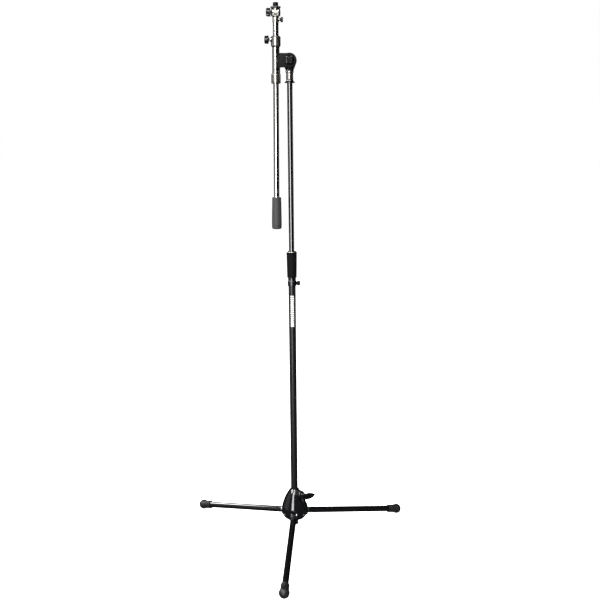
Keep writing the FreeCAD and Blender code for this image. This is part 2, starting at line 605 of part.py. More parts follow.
def head_fork():
    """Fork on the end of the extension: a chamfered foot and two round cheeks."""
    pivot = Vector(0, 0, HEAD_PIVOT_Z)
    foot = turned((0, 121.6), (9.6, 121.6), (HEAD_HALF, 125), (HEAD_HALF, HEAD_PIVOT_Z), (0, HEAD_PIVOT_Z))
    foot = foot.common(block((-20, 20), (-10.6, 10.6), (100, 150)))
    cheeks = cylinder(FORK_R, -HEAD_HALF + 0.6, HEAD_HALF - 0.6, X, pivot)
    cheeks = cheeks.common(cylinder(HEAD_HALF, 100, 160))
    fork = foot.fuse(cheeks).removeSplitter()
    gap = TONGUE_HALF + 0.3
    fork = fork.cut(cylinder(TONGUE_R + 0.5, -gap, gap, X, pivot))
    fork = fork.cut(block((-gap, gap), (-20, 20), (HEAD_PIVOT_Z - 8.8, 170)))
    fork = fork.cut(cylinder(EXTENSION_R + SEAT, 100, EXTENSION_HIGH + SEAT))
    fork = fork.cut(cylinder(3 + RUN, -20, 20, X, pivot))
    return along_boom(fork.cut(cylinder(6 + SEAT, HEAD_HALF - 3.5, 20, X, pivot)))


def head_tongue():
    """Tongue between the fork's cheeks, with a round seat for the stud."""
    pivot = Vector(0, 0, HEAD_PIVOT_Z)
    tongue = cylinder(TONGUE_R, -TONGUE_HALF, TONGUE_HALF, X, pivot)
    seat = cylinder(8.4, HEAD_PIVOT_Z + 4, STUD_SEAT)
    seat = seat.common(block((-TONGUE_HALF, TONGUE_HALF), (-20, 20), (100, 200)))
    tongue = joined(tongue, seat)
    tongue = tongue.cut(cylinder(3 + RUN, -20, 20, X, pivot))
    return along_boom(tongue.cut(cylinder(4 + SEAT, HEAD_PIVOT_Z + 5.5, 200)))


def mic_stud():
    """Stud that a microphone clip screws onto."""
    stud = turned((0, HEAD_PIVOT_Z + 5.6), (4, HEAD_PIVOT_Z + 5.6), (4, STUD_SEAT),
                  (NUT_THREAD_R, STUD_SEAT), (NUT_THREAD_R, NUT_TOP + GAP), (MIC_STUD_R, NUT_TOP + GAP),
                  (MIC_STUD_R, MIC_STUD_TOP - 1), (MIC_STUD_R - 1, MIC_STUD_TOP),
                  (3.2, MIC_STUD_TOP), (3.2, MIC_STUD_TOP - 6), (0, MIC_STUD_TOP - 6))
    return along_boom(stud)


def stud_flange_nut():
    """Round nut that locks a microphone clip on the stud."""
    bore = NUT_THREAD_R + RUN
    return along_boom(turned((bore, NUT_LOW), (12.4, NUT_LOW), (15, NUT_LOW + 2.2), (15, NUT_TOP - 0.6),
                             (14.4, NUT_TOP), (bore, NUT_TOP)))


def tilt_bolt():
    """Bolt through the fork and tongue, its head sunk in the right-hand cheek."""
    bolt = joined(cylinder(3, -25, 14, X), cylinder(6, HEAD_HALF - 3.5 + SEAT, 14, X))
    return along_boom(moved(bolt, shift=Vector(0, 0, HEAD_PIVOT_Z)))


def tilt_knob():
    """Five-lobed knob that clamps the head."""
    knob = lobed_knob(5, 12.4, 4.4, 15, 28, 7, HEAD_HALF + GAP, 3 + RUN, 11.6)
    return along_boom(moved(knob, [(Y, -90)], Vector(0, 0, HEAD_PIVOT_Z)))


# ---- Nodes -------------------------------------------------------------------------------------
SINGLE_PARTS = [
    hub_housing, guide_bush, clamp_pad, clamp_insert, leg_pivot_pins, wing_screw, wing_handle,
    mast_end_collar, lower_tube, clutch_body, clutch_collet, clutch_nut, clutch_grip,
    collar_thumb_screw, upper_tube, slide_bush, mast_top_plug, mast_lock_flange, swivel_stem,
    swivel_base, friction_disc, tension_bolt, tension_knob, tension_knob_insert, boom_yoke,
    boom_sleeve, sleeve_liners, sleeve_lock_collar, sleeve_lock_insert, boom_clamp_pad,
    sleeve_end_collar, boom_lock_screw, boom_lock_knob, boom_tube, boom_weight, boom_grip,
    boom_end_collar, boom_end_liner, end_lock_screw, end_lock_knob, extension_tube,
    extension_bush, head_fork, head_tongue, mic_stud, stud_flange_nut, tilt_bolt, tilt_knob,
]
LEG_PARTS = {"knuckle": leg_knuckle, "tube": leg_tube, "foot": leg_foot}

os.makedirs("parts", exist_ok=True)
nodes = {make.__name__: make() for make in SINGLE_PARTS}
for side in LEG_AZIMUTHS:
    for name, make in LEG_PARTS.items():
        nodes[f"leg_{side}_{name}"] = make(side)
for name, shape in nodes.items():
    shape.exportStep(os.path.join("parts", name + ".step"))
    print(f"{name}: {len(shape.Solids)} solid(s), {shape.Volume:.0f} mm3, valid {shape.isValid()}")
print(f"leg fold {FOLD:.3f} deg, mast lift {2 * (PIVOT_Z - TOE_Z):.4f} mm, slope {LEG_SLOPE:.3f} deg")
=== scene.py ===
"""Boom microphone stand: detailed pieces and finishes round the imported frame, in a pale studio.

Lengths are in metres, and in millimetres where a docstring says so. Sizes and places come from the
frame's nodes, joints and record.
"""

import json
import logging
import math
from collections.abc import Callable, Sequence
from dataclasses import dataclass, field
from enum import Enum
from itertools import pairwise

import bpy
from mathutils import Matrix, Vector


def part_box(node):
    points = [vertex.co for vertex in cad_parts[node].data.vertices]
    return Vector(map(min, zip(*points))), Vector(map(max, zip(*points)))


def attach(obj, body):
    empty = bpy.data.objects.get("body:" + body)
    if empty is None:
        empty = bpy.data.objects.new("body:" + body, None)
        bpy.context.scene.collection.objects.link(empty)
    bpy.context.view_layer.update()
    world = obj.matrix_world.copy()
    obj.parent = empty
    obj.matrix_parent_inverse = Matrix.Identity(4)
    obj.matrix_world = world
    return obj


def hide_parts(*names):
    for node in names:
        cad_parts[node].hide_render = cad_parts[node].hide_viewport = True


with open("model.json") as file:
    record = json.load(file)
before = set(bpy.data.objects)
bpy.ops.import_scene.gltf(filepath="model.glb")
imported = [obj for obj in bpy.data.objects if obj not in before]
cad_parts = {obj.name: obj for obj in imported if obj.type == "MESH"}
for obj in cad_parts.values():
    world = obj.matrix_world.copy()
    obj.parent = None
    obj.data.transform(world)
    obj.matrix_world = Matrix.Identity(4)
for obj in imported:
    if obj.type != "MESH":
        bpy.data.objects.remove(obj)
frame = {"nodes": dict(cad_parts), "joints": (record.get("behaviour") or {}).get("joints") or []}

MM = 0.001
NODES = frame["nodes"]
JOINTS = {joint["name"]: joint for joint in frame["joints"]}
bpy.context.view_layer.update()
UP = Vector((0, 0, 1))
SIDES = ("front", "right", "left")
WHITE = (1, 1, 1, 1)
# Vertices closer than the first are merged. Those this close in height are on the same ring.
WELD = 0.001 * MM
SAME_RING = 0.02 * MM
# Faces to a turn of a screw thread.
THREAD_STEPS = 40

log = logging.getLogger("stand")


# ---- Finishes ----------------------------------------------------------------------------------
class Pattern(Enum):
    """How a surface was made, which sets the form of its relief and its gloss."""

    SPRAYED = "orange peel of a sprayed coat"
    POWDER = "stipple of a powder coat"
    DRAWN = "streaks along a drawn and plated tube"
    TURNED = "rings from a lathe"
    MOULDED = "slow waves of a moulding"
    GRAINED = "spark-eroded grain of a rubber mould"
    CAST = "sand-like skin of a die casting"
    PRINTED = "screen-printed ink"


@dataclass(frozen=True)
class Finish:
    """A surface finish: its colours, its gloss and the relief that its making leaves.

    Colours are sRGB hex. The spread is how far the roughness varies to each side. The grain is the
    size of the pattern and the relief is its depth.
    """

    title: str
    pattern: Pattern
    colour: str
    shade: str
    roughness: float
    spread: float
    grain: float
    relief: float
    metallic: float = 0.0
    specular: float = 0.5
    coat: float = 0.0
    # Lighter colour painted on raised edges as a highlight.
    edge_highlight: str = ""
    anisotropic: float = 0.0
    subsurface: float = 0.0


def linear(code: str) -> tuple[float, float, float, float]:
    """Turn an sRGB hex colour to linear light.

    Args:
        code: The colour as "#rrggbb".

    Returns:
        Red, green, blue and a full alpha.
    """
    parts = [int(code[place:place + 2], 16) / 255 for place in (1, 3, 5)]
    red, green, blue = (part / 12.92 if part <= 0.04045 else ((part + 0.055) / 1.055) ** 2.4
                        for part in parts)
    return red, green, blue, 1.0


def add(tree: bpy.types.NodeTree, kind: str, inputs: dict | None = None,
        **settings: object) -> bpy.types.Node:
    """Add a node with its settings and its inputs.

    Args:
        tree: The tree that the node goes into.
        kind: The node's type.
        inputs: Input names or numbers, each with a value or with the socket that feeds it.
        settings: The node's own properties.

    Returns:
        The new node.
    """
    made = tree.nodes.new(kind)
    for name, value in settings.items():
        setattr(made, name, value)
    for name, value in (inputs or {}).items():
        if isinstance(value, bpy.types.NodeSocket):
            tree.links.new(value, made.inputs[name])
        else:
            made.inputs[name].default_value = value
    return made


@dataclass
class PaintShop:
    """Makes each finish once for every direction that its pattern runs in.

    A streak or a ring is so many widths long. Clouds of colour are counted to a metre, and a
    painted highlight on raised edges shows between two values of pointiness.
    """

    finishes: dict[str, Finish]
    made: dict[tuple, bpy.types.Material] = field(default_factory=dict)
    streak_length: float = 220.0
    ring_length: float = 60.0
    least_roughness: float = 0.02
    coat_roughness: float = 0.06
    scatter: tuple[float, float, float] = (1.0 * MM, 0.8 * MM, 0.6 * MM)
    clouds: float = 45.0
    # Painted edge highlight: starts and ends at these pointiness values, at most this strong.
    edge_highlight_from: float = 0.56
    edge_highlight_to: float = 0.68
    most_edge_highlight: float = 0.35

    def stretch(self, finish: Finish) -> tuple[float, float, float]:
        """Work out how many grains a metre holds along each of the pattern's own axes.

        Args:
            finish: The finish whose pattern is laid out.

        Returns:
            Scale across, across and along the piece.
        """
        fine = 1 / finish.grain
        if finish.pattern is Pattern.DRAWN:
            return fine, fine, fine / self.streak_length
        if finish.pattern is Pattern.TURNED:
            return fine / self.ring_length, fine / self.ring_length, fine
        return fine, fine, fine

    def material(self, slot: str, along: Vector) -> bpy.types.Material:
        """Build a finish's material, or give back the one that is there already.

        Args:
            slot: The record's material slot.
            along: The direction that streaks run along and rings run round.

        Returns:
            The material.
        """
        key = (slot, tuple(round(part, 3) for part in along))
        if key in self.made:
            return self.made[key]
        finish = self.finishes[slot]
        material = bpy.data.materials.new(finish.title)
        material.use_nodes = True
        tree = material.node_tree
        tree.nodes.clear()
        place = add(tree, "ShaderNodeTexCoord").outputs["Object"]
        turn = add(tree, "ShaderNodeMapping", {
            "Vector": place, "Rotation": along.rotation_difference(UP).to_euler()})
        grid = add(tree, "ShaderNodeMapping", {
            "Vector": turn.outputs[0], "Scale": self.stretch(finish)})
        relief, mask = self.pattern(tree, finish, grid.outputs[0])
        tone = self.tone(tree, finish, place)
        gloss = add(tree, "ShaderNodeMapRange", {
            "Value": mask, "From Min": 0.3, "From Max": 0.7,
            "To Min": max(finish.roughness - finish.spread, self.least_roughness),
            "To Max": finish.roughness + finish.spread})
        bump = add(tree, "ShaderNodeBump", {
            "Height": relief, "Strength": 1.0, "Distance": finish.relief})
        shader = add(tree, "ShaderNodeBsdfPrincipled", {
            "Base Color": tone, "Roughness": gloss.outputs[0], "Normal": bump.outputs[0],
            "Metallic": finish.metallic, "Specular IOR Level": finish.specular,
            "Coat Weight": finish.coat, "Coat Roughness": self.coat_roughness,
            "Anisotropic": finish.anisotropic, "Subsurface Weight": finish.subsurface,
            "Subsurface Radius": self.scatter})
        add(tree, "ShaderNodeOutputMaterial", {"Surface": shader.outputs[0]})
        self.made[key] = material
        return material

    def pattern(self, tree: bpy.types.NodeTree, finish: Finish,
                grid: bpy.types.NodeSocket) -> tuple[bpy.types.NodeSocket, bpy.types.NodeSocket]:
        """Draw the relief of a finish.

        Args:
            tree: The material's tree.
            finish: The finish.
            grid: Coordinates with one grain to a unit.

        Returns:
            The height of the relief, and the mask that varies the gloss.
        """
        noise = add(tree, "ShaderNodeTexNoise", {
            "Vector": grid, "Scale": 1.0, "Detail": 3.0, "Roughness": 0.55})
        # A cloud is about eight grains wide.
        cloud = add(tree, "ShaderNodeTexNoise", {"Vector": grid, "Scale": 0.13, "Detail": 2.0})
        if finish.pattern in (Pattern.POWDER, Pattern.GRAINED, Pattern.CAST):
            cells = add(tree, "ShaderNodeTexVoronoi", {"Vector": grid, "Scale": 1.3},
                        feature="SMOOTH_F1")
            height = add(tree, "ShaderNodeMath", {
                0: noise.outputs["Fac"], 1: cells.outputs["Distance"]}, operation="ADD")
            return height.outputs[0], noise.outputs["Fac"]
        if finish.pattern in (Pattern.DRAWN, Pattern.TURNED):
            return noise.outputs["Fac"], noise.outputs["Fac"]
        return noise.outputs["Fac"], cloud.outputs["Fac"]

    def tone(self, tree: bpy.types.NodeTree, finish: Finish,
             place: bpy.types.NodeSocket) -> bpy.types.NodeSocket:
        """Mix the two colours of a finish in slow clouds, with a painted highlight on raised edges.

        Args:
            tree: The material's tree.
            finish: The finish.
            place: Object coordinates.

        Returns:
            The colour.
        """
        cloud = add(tree, "ShaderNodeTexNoise", {
            "Vector": place, "Scale": self.clouds, "Detail": 4.0})
        tone = add(tree, "ShaderNodeMix", {
            "Factor": cloud.outputs["Fac"], 6: linear(finish.colour), 7: linear(finish.shade)},
            data_type="RGBA")
        if not finish.edge_highlight:
            return tone.outputs[2]
        # Raised edges are painted lighter as a highlight, picked out by pointiness.
        edge = add(tree, "ShaderNodeMapRange", {
            "Value": add(tree, "ShaderNodeNewGeometry").outputs["Pointiness"],
            "From Min": self.edge_highlight_from, "From Max": self.edge_highlight_to,
            "To Min": 0.0, "To Max": self.most_edge_highlight})
        edge_highlight = add(tree, "ShaderNodeMix", {
            "Factor": edge.outputs[0], 6: tone.outputs[2], 7: linear(finish.edge_highlight)},
            data_type="RGBA")
        return edge_highlight.outputs[2]

    def dress(self, piece: bpy.types.Object, slot: str, along: Vector = UP) -> None:
        """Give a piece one finish all over.

        Args:
            piece: The piece.
            slot: The finish's name.
            along: The direction that streaks run along and rings run round.
        """
        if not piece.material_slots:
            piece.data.materials.append(None)
        for holder in piece.material_slots:
            holder.link = "OBJECT"
            holder.material = self.material(slot, along)


PAINT = PaintShop({
    # Enamel sprayed thick on a casting mirrors like dark glass. The waves of its orange peel are
    # 2.6 mm long. Its raised edges get a painted highlight.
    "hub": Finish(
        "gloss_black_enamel", Pattern.SPRAYED, colour="#08080a", shade="#0d0d0e", roughness=0.09,
        spread=0.03, grain=2.6 * MM, relief=0.004 * MM, specular=0.42, coat=0.35, edge_highlight="#1b1b1c"),
    # Satin powder coat on steel tube spreads a highlight into a soft band. Its peel is 0.7 mm.
    "satin_tube": Finish(
        "satin_black_powder_coat", Pattern.SPRAYED, colour="#08080a", shade="#0c0c0d",
        roughness=0.33, spread=0.05, grain=0.7 * MM, relief=0.006 * MM, specular=0.4),
    # Lacquer over black plate on the upper tube gives a narrow, bright line. The peel is 3 mm.
    "gloss_tube": Finish(
        "gloss_black_lacquer", Pattern.SPRAYED, colour="#050506", shade="#08080a", roughness=0.07,
        spread=0.02, grain=3.0 * MM, relief=0.002 * MM, specular=1.0, coat=1.0),
    # Plain gloss lacquer on the legs is a little softer than the hub's. The peel is 2.2 mm.
    "leg_tube": Finish(
        "black_lacquered_steel", Pattern.SPRAYED, colour="#070708", shade="#0b0b0c",
        roughness=0.12, spread=0.03, grain=2.2 * MM, relief=0.003 * MM, specular=0.5, coat=0.2),
    # Nickel plate over drawn tube is bright, with streaks along it. Real streaks are about 0.05 mm
    # wide, and are drawn at 0.35 mm so that they show.
    "boom_metal": Finish(
        "bright_nickel_plate_drawn", Pattern.DRAWN, colour="#cbcac7", shade="#bdbcb9",
        roughness=0.13, spread=0.05, grain=0.35 * MM, relief=0.002 * MM, metallic=1.0),
    # Turned collars are plated satin, and a highlight runs across their rings. A lathe's feed is
    # about 0.1 mm, and is drawn at 0.3 mm so that it shows, as on the turned finishes below.
    "collar_metal": Finish(
        "satin_nickel_plate_turned", Pattern.TURNED, colour="#989691", shade="#807e7a",
        roughness=0.26, spread=0.07, grain=0.30 * MM, relief=0.006 * MM, metallic=1.0,
        anisotropic=0.4),
    # Black nickel over turned steel is the same metal, dark.
    "clutch_metal": Finish(
        "black_nickel_plate_turned", Pattern.TURNED, colour="#4a4a4c", shade="#3b3b3d",
        roughness=0.3, spread=0.08, grain=0.30 * MM, relief=0.006 * MM, metallic=1.0,
        anisotropic=0.4),
    # The trumpet flange and the round nut are black nickel too, polished brighter.
    "flange_metal": Finish(
        "gloss_black_nickel_turned", Pattern.TURNED, colour="#4c4c4e", shade="#3d3d3f",
        roughness=0.2, spread=0.06, grain=0.30 * MM, relief=0.005 * MM, metallic=1.0),
    # Black zinc on the stud is a dark, dull metal.
    "stud_metal": Finish(
        "black_zinc_plate", Pattern.TURNED, colour="#2a2a2b", shade="#1f1f20", roughness=0.35,
        spread=0.08, grain=0.25 * MM, relief=0.004 * MM, metallic=1.0),
    # Small painted steel parts are black, with a painted highlight on their edges. The peel is 1
    # mm.
    "zinc_black": Finish(
        "black_painted_steel", Pattern.SPRAYED, colour="#0c0c0d", shade="#121213", roughness=0.28,
        spread=0.06, grain=1.0 * MM, relief=0.004 * MM, specular=0.5, edge_highlight="#3a3a3a"),
    # Die-cast zinc is left bare and has a sandy skin of 0.5 mm, pale and uneven.
    "knuckle": Finish(
        "bright_die_cast_zinc", Pattern.CAST, colour="#c6c7c9", shade="#a9abad", roughness=0.3,
        spread=0.1, grain=0.5 * MM, relief=0.012 * MM, metallic=1.0),
    # Powder coat on the swivel's castings is matt and stippled. The stipple is 0.55 mm.
    # Raised edges get a painted highlight.
    "casting": Finish(
        "matt_black_powder_coat", Pattern.POWDER, colour="#070708", shade="#0a0a0b",
        roughness=0.5, spread=0.08, grain=0.55 * MM, relief=0.02 * MM, specular=0.045,
        edge_highlight="#161617"),
    # Bright zinc plate on screws is pale and slightly blue.
    "steel": Finish(
        "bright_zinc_plate", Pattern.TURNED, colour="#b9bcc0", shade="#a3a6aa", roughness=0.28,
        spread=0.08, grain=0.25 * MM, relief=0.004 * MM, metallic=1.0),
    # Inserts are turned from brass, yellow and bare.
    "brass": Finish(
        "turned_brass", Pattern.TURNED, colour="#cda65c", shade="#b98f47", roughness=0.25,
        spread=0.08, grain=0.25 * MM, relief=0.004 * MM, metallic=1.0),
    # Bushes are natural nylon, milky and slightly translucent, with moulding waves of 2 mm.
    "nylon": Finish(
        "natural_moulded_nylon", Pattern.MOULDED, colour="#dcd8cb", shade="#d0ccbf",
        roughness=0.42, spread=0.06, grain=2.0 * MM, relief=0.01 * MM, subsurface=0.15),
    # Knobs are moulded in black nylon and shine on their lobes. Moulding waves are 2.4 mm long.
    # Their raised edges get a painted highlight.
    "knob": Finish(
        "gloss_black_moulded_nylon", Pattern.MOULDED, colour="#060607", shade="#0a0a0b",
        roughness=0.14, spread=0.05, grain=2.4 * MM, relief=0.01 * MM, specular=0.3,
        edge_highlight="#161617"),
    # The clutch's grip is soft rubber with hardly any shine. Spark-eroded grain is about 0.1 mm,
    # and is drawn at 0.6 mm so that it shows, as on the rubbers below. Raised edges get a painted
    # highlight.
    "grip_rubber": Finish(
        "dark_grey_moulded_rubber", Pattern.GRAINED, colour="#060607", shade="#09090a",
        roughness=0.55, spread=0.1, grain=0.6 * MM, relief=0.03 * MM, specular=0.04,
        edge_highlight="#161617"),
    # The counterweight's sleeve is foamed rubber, greyer, with open pores. Its raised edges get a
    # painted highlight.
    "weight_rubber": Finish(
        "dark_grey_foamed_rubber", Pattern.GRAINED, colour="#1c1c1d", shade="#252526",
        roughness=0.6, spread=0.1, grain=0.7 * MM, relief=0.05 * MM, specular=0.3,
        edge_highlight="#4a4a4b"),
    # The feet are harder rubber, with a low shine. Raised edges get a painted highlight.
    "foot_rubber": Finish(
        "black_moulded_rubber", Pattern.GRAINED, colour="#0e0e0f", shade="#141415",
        roughness=0.42, spread=0.1, grain=0.6 * MM, relief=0.02 * MM, specular=0.3,
        edge_highlight="#2a2a2b"),
    # Ink is screened on the tube in a flat, pale film. The mesh is 0.4 mm.
    "print": Finish(
        "pale_grey_screen_print", Pattern.PRINTED, colour="#b9b9b7", shade="#a6a6a4",
        roughness=0.45, spread=0.08, grain=0.4 * MM, relief=0.01 * MM, specular=0.4),
})


# ---- Modelling ---------------------------------------------------------------------------------
@dataclass(frozen=True)
class Line:
    """A line to make a piece on: a point, and the direction that the piece's own Z takes."""

    point: Vector
    axis: Vector

    @classmethod
    def of_joint(cls, name: str) -> "Line":
        """The line of a turning joint in the frame."""
        joint = JOINTS[name]
        return cls(Vector(joint["pos_m"]), Vector(joint["axis"]).normalized())

    @classmethod
    def of_boom(cls) -> "Line":
        """The boom's centreline, from the height of the sleeve's lock screw upwards."""
        return cls(Vector(JOINTS["boom_lock_turn"]["pos_m"]), Vector(JOINTS["boom_slide"]["axis"]))

    @classmethod
    def of_leg(cls, side: str) -> "Line":
        """Find the centreline of a leg, from its pivot outwards.

        Args:
            side: Which leg.

        Returns:
            The line through the pivot and the middle of the leg's tube.
        """
        pivot = Vector(JOINTS[f"leg_fold_{side}"]["pos_m"])
        low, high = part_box(f"leg_{side}_tube")
        return cls(pivot, ((low + high) / 2 - pivot).normalized())

    def reversed(self) -> "Line":
        """The same line, facing the other way."""
        return Line(self.point, -self.axis)

    def place(self) -> Matrix:
        """Work out the place of a piece that goes on this line.

        Returns:
            The matrix that takes a piece made on Z at the origin to the line.
        """
        beside = Vector((0, 1, 0)) if abs(self.axis.z) > 0.9 else UP
        across = beside.cross(self.axis).normalized()
        turned = Matrix((across, self.axis.cross(across), self.axis)).transposed()
        return Matrix.Translation(self.point) @ turned.to_4x4()

    def extent(self, node: str) -> tuple[float, float, float]:
        """Measure a CAD node along this line.

        Args:
            node: The node's name.

        Returns:
            The lowest and highest place along the line, and the largest distance from it, in
            millimetres.
        """
        spots = [spot / MM for spot in self.spots(node)]
        heights = [spot.z for spot in spots]
        return min(heights), max(heights), max(spot.xy.length for spot in spots)

    def bearing(self, node: str) -> float:
        """The angle round this line, in radians, at which a CAD node reaches furthest from it."""
        furthest = max(self.spots(node), key=lambda spot: spot.xy.length)
        return math.atan2(furthest.y, furthest.x)

    def spots(self, node: str) -> list[Vector]:
        """A CAD node's vertices, seen from this line."""
        back = self.place().inverted()
        return [back @ vertex.co for vertex in NODES[node].data.vertices]


ORIGIN_LINE = Line(Vector((0, 0, 0)), UP)


def deselect() -> None:
    """Leave edit mode and select nothing."""
    if bpy.context.object and bpy.context.object.mode != "OBJECT":
        bpy.ops.object.mode_set(mode="OBJECT")
    bpy.ops.object.select_all(action="DESELECT")


def activate(piece: bpy.types.Object) -> None:
    """Select one piece alone and make it the active one.

    Args:
        piece: The piece.
    """
    deselect()
    piece.select_set(True)
    bpy.context.view_layer.objects.active = piece


def open_up() -> None:
    """Put the active piece in edit mode with all of it selected."""
    bpy.ops.object.mode_set(mode="EDIT")
    bpy.ops.mesh.select_all(action="SELECT")


def fix_place() -> None:
    """Move the selected piece's place into its mesh."""
    bpy.ops.object.transform_apply(location=True, rotation=True, scale=True)


def narrow(share: float, height: float) -> None:
    """Scale the vertices picked in edit mode across Z, about a height in millimetres."""
    bpy.ops.transform.resize(value=(share, share, 1), center_override=(0, 0, height * MM))


def pick(piece: bpy.types.Object, test: Callable[[Vector], bool]) -> None:
    """Select in edit mode the vertices whose places pass a test.

    Args:
        piece: The active piece.
        test: Says of a place in the piece's mesh whether it is picked.
    """
    bpy.ops.object.mode_set(mode="EDIT")
    bpy.ops.mesh.select_mode(type="VERT")
    bpy.ops.mesh.select_all(action="DESELECT")
    bpy.ops.object.mode_set(mode="OBJECT")
    for vertex in piece.data.vertices:
        vertex.select = test(vertex.co)
    bpy.ops.object.mode_set(mode="EDIT")


def on_column(spot: Vector, sides: int, every: int) -> bool:
    """Whether a place on a piece turned with so many sides is on one of every few columns."""
    return round(math.degrees(math.atan2(spot.y, spot.x)) / (360 / sides)) % every == 0


def turn_up(name: str, outline: Sequence[tuple[float, float]], sides: int = 72,
            closed: bool = False) -> bpy.types.Object:
    """Turn an outline about Z, ring by ring, from a circle.

    Args:
        name: The piece's name.
        outline: Radius and height of each ring, in millimetres.
        sides: Vertices in a ring.
        closed: Whether the last ring is joined to the first, as in a sleeve. If not, both ends
            are capped.

    Returns:
        The piece, in edit mode, with its last ring selected, or all of it if it is closed.
    """
    deselect()
    radius, height = outline[0]
    bpy.ops.mesh.primitive_circle_add(vertices=sides, radius=radius * MM,
                                      location=(0, 0, height * MM),
                                      fill_type="NOTHING" if closed else "NGON")
    piece = bpy.context.object
    piece.name = name
    fix_place()
    open_up()
    for (before, low), (after, high) in pairwise([*outline, outline[0]] if closed else outline):
        shift = {"value": (0, 0, (high - low) * MM)}
        if closed:
            bpy.ops.mesh.extrude_edges_move(TRANSFORM_OT_translate=shift)
        else:
            bpy.ops.mesh.extrude_region_move(TRANSFORM_OT_translate=shift)
        narrow(after / before, high)
    if closed:
        bpy.ops.mesh.select_all(action="SELECT")
        bpy.ops.mesh.remove_doubles(threshold=WELD)
    return piece


def soften(width: float, segments: int = 2, angle: float = 28.0) -> None:
    """Round the sharp edges of the piece in edit mode.

    Args:
        width: How far each edge is set back, in millimetres.
        segments: Faces across a rounded edge.
        angle: Edges that turn by more than this, in degrees, are rounded.
    """
    bpy.ops.mesh.select_mode(type="EDGE")
    bpy.ops.mesh.select_all(action="DESELECT")
    bpy.ops.mesh.edges_select_sharp(sharpness=math.radians(angle))
    bpy.ops.mesh.bevel(offset=width * MM, segments=segments, affect="EDGES", clamp_overlap=True)


def copy_of(node: str, name: str) -> bpy.types.Object:
    """Copy a CAD node and merge its loose triangles.

    Args:
        node: The CAD node.
        name: The new piece's name.

    Returns:
        The copy, in edit mode, all selected.
    """
    piece = bpy.data.objects.new(name, NODES[node].data.copy())
    bpy.context.scene.collection.objects.link(piece)
    activate(piece)
    bpy.ops.mesh.customdata_custom_splitnormals_clear()
    open_up()
    bpy.ops.mesh.remove_doubles(threshold=WELD)
    return piece


def apply_modifier(piece: bpy.types.Object, kind: str, **settings: object) -> None:
    """Add a modifier to the active piece with its settings, and apply it.

    Args:
        piece: The piece.
        kind: The modifier's type.
        settings: The modifier's own properties.
    """
    if piece.mode != "OBJECT":
        bpy.ops.object.mode_set(mode="OBJECT")
    modifier = piece.modifiers.new(kind.lower(), kind)
    for name, value in settings.items():
        setattr(modifier, name, value)
    bpy.ops.object.modifier_apply(modifier=modifier.name)


def merge(pieces: Sequence[bpy.types.Object]) -> bpy.types.Object:
    """Join pieces that touch.

    Args:
        pieces: The pieces, with the one that keeps its name first.

    Returns:
        The first piece, which now holds them all.
    """
    activate(pieces[0])
    for other in pieces[1:]:
        other.select_set(True)
    bpy.ops.object.join()
    return pieces[0]


def carve(piece: bpy.types.Object, tool: bpy.types.Object, operation: str = "DIFFERENCE") -> None:
    """Cut a piece with a tool, or fuse the two, and throw the tool away.

    Args:
        piece: The piece.
        tool: The tool.
        operation: The boolean operation.
    """
    activate(piece)
    apply_modifier(piece, "BOOLEAN", object=tool, operation=operation, solver="EXACT")
    bpy.data.objects.remove(tool)


def helix(name: str, root: float, crest: float, low: float, high: float,
          pitch: float) -> bpy.types.Object:
    """Wind a thread's ridge round Z, with a triangle for its section.

    Args:
        name: The piece's name.
        root: Radius at the foot of the ridge, in millimetres.
        crest: Radius at its top.
        low: Where the thread starts.
        high: Where it ends.
        pitch: Its pitch.

    Returns:
        The ridge, closed at both ends.
    """
    deselect()
    side = 0.9 * pitch / math.sqrt(3)
    bpy.ops.mesh.primitive_circle_add(vertices=3, radius=side * MM, fill_type="NOTHING")
    ridge = bpy.context.object
    ridge.name = name
    ridge.matrix_world = Matrix(((0, 1, 0, 0), (0, 0, 1, 0), (1, 0, 0, 0), (0, 0, 0, 1)))
    fix_place()
    open_up()
    bpy.ops.transform.resize(value=((crest - root) / (1.5 * side), 1, 1),
                             center_override=(-side * MM / 2, 0, 0))
    bpy.ops.transform.translate(value=((root + side / 2) * MM, 0, (low + 0.45 * pitch) * MM))
    bpy.ops.object.mode_set(mode="OBJECT")
    turns = max(int((high - low) / pitch) - 1, 1)
    apply_modifier(ridge, "SCREW", screw_offset=pitch * MM, iterations=turns, steps=THREAD_STEPS,
                   render_steps=THREAD_STEPS, use_merge_vertices=True, merge_threshold=WELD)
    open_up()
    bpy.ops.mesh.fill_holes(sides=4)
    bpy.ops.mesh.normals_make_consistent(inside=False)
    bpy.ops.object.mode_set(mode="OBJECT")
    return ridge


def hand_over(piece: bpy.types.Object, line: Line, body: str, slot: str, *nodes: str,
              along: Vector | None = None, crease: float = 35.0,
              turn: float = 0.0, finish: str = "") -> None:
    """Put a piece in its place, dress it, and hand it to the frame.

    Args:
        piece: The piece, made on Z at the origin.
        line: The line that it goes to.
        body: The CAD body that it moves with.
        slot: The record's material slot.
        nodes: The CAD nodes that it stands for.
        along: The direction of its streaks or rings, if it isn't the line's.
        crease: Edges that turn by less than this, in degrees, are shaded smooth.
        turn: How far the piece is turned about the line, in radians.
        finish: The finish, if it isn't the slot's own.
    """
    activate(piece)
    open_up()
    bpy.ops.mesh.normals_make_consistent(inside=False)
    bpy.ops.object.mode_set(mode="OBJECT")
    piece.matrix_world = line.place() @ Matrix.Rotation(turn, 4, "Z")
    fix_place()
    bpy.ops.object.shade_smooth_by_angle(angle=math.radians(crease))
    apply_modifier(piece, "WEIGHTED_NORMAL", keep_sharp=True)
    PAINT.dress(piece, finish or slot, along or line.axis)
    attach(piece, body)
    if nodes:
        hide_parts(*nodes)
    log.info("%s: %d faces on %s", piece.name, len(piece.data.polygons), body)


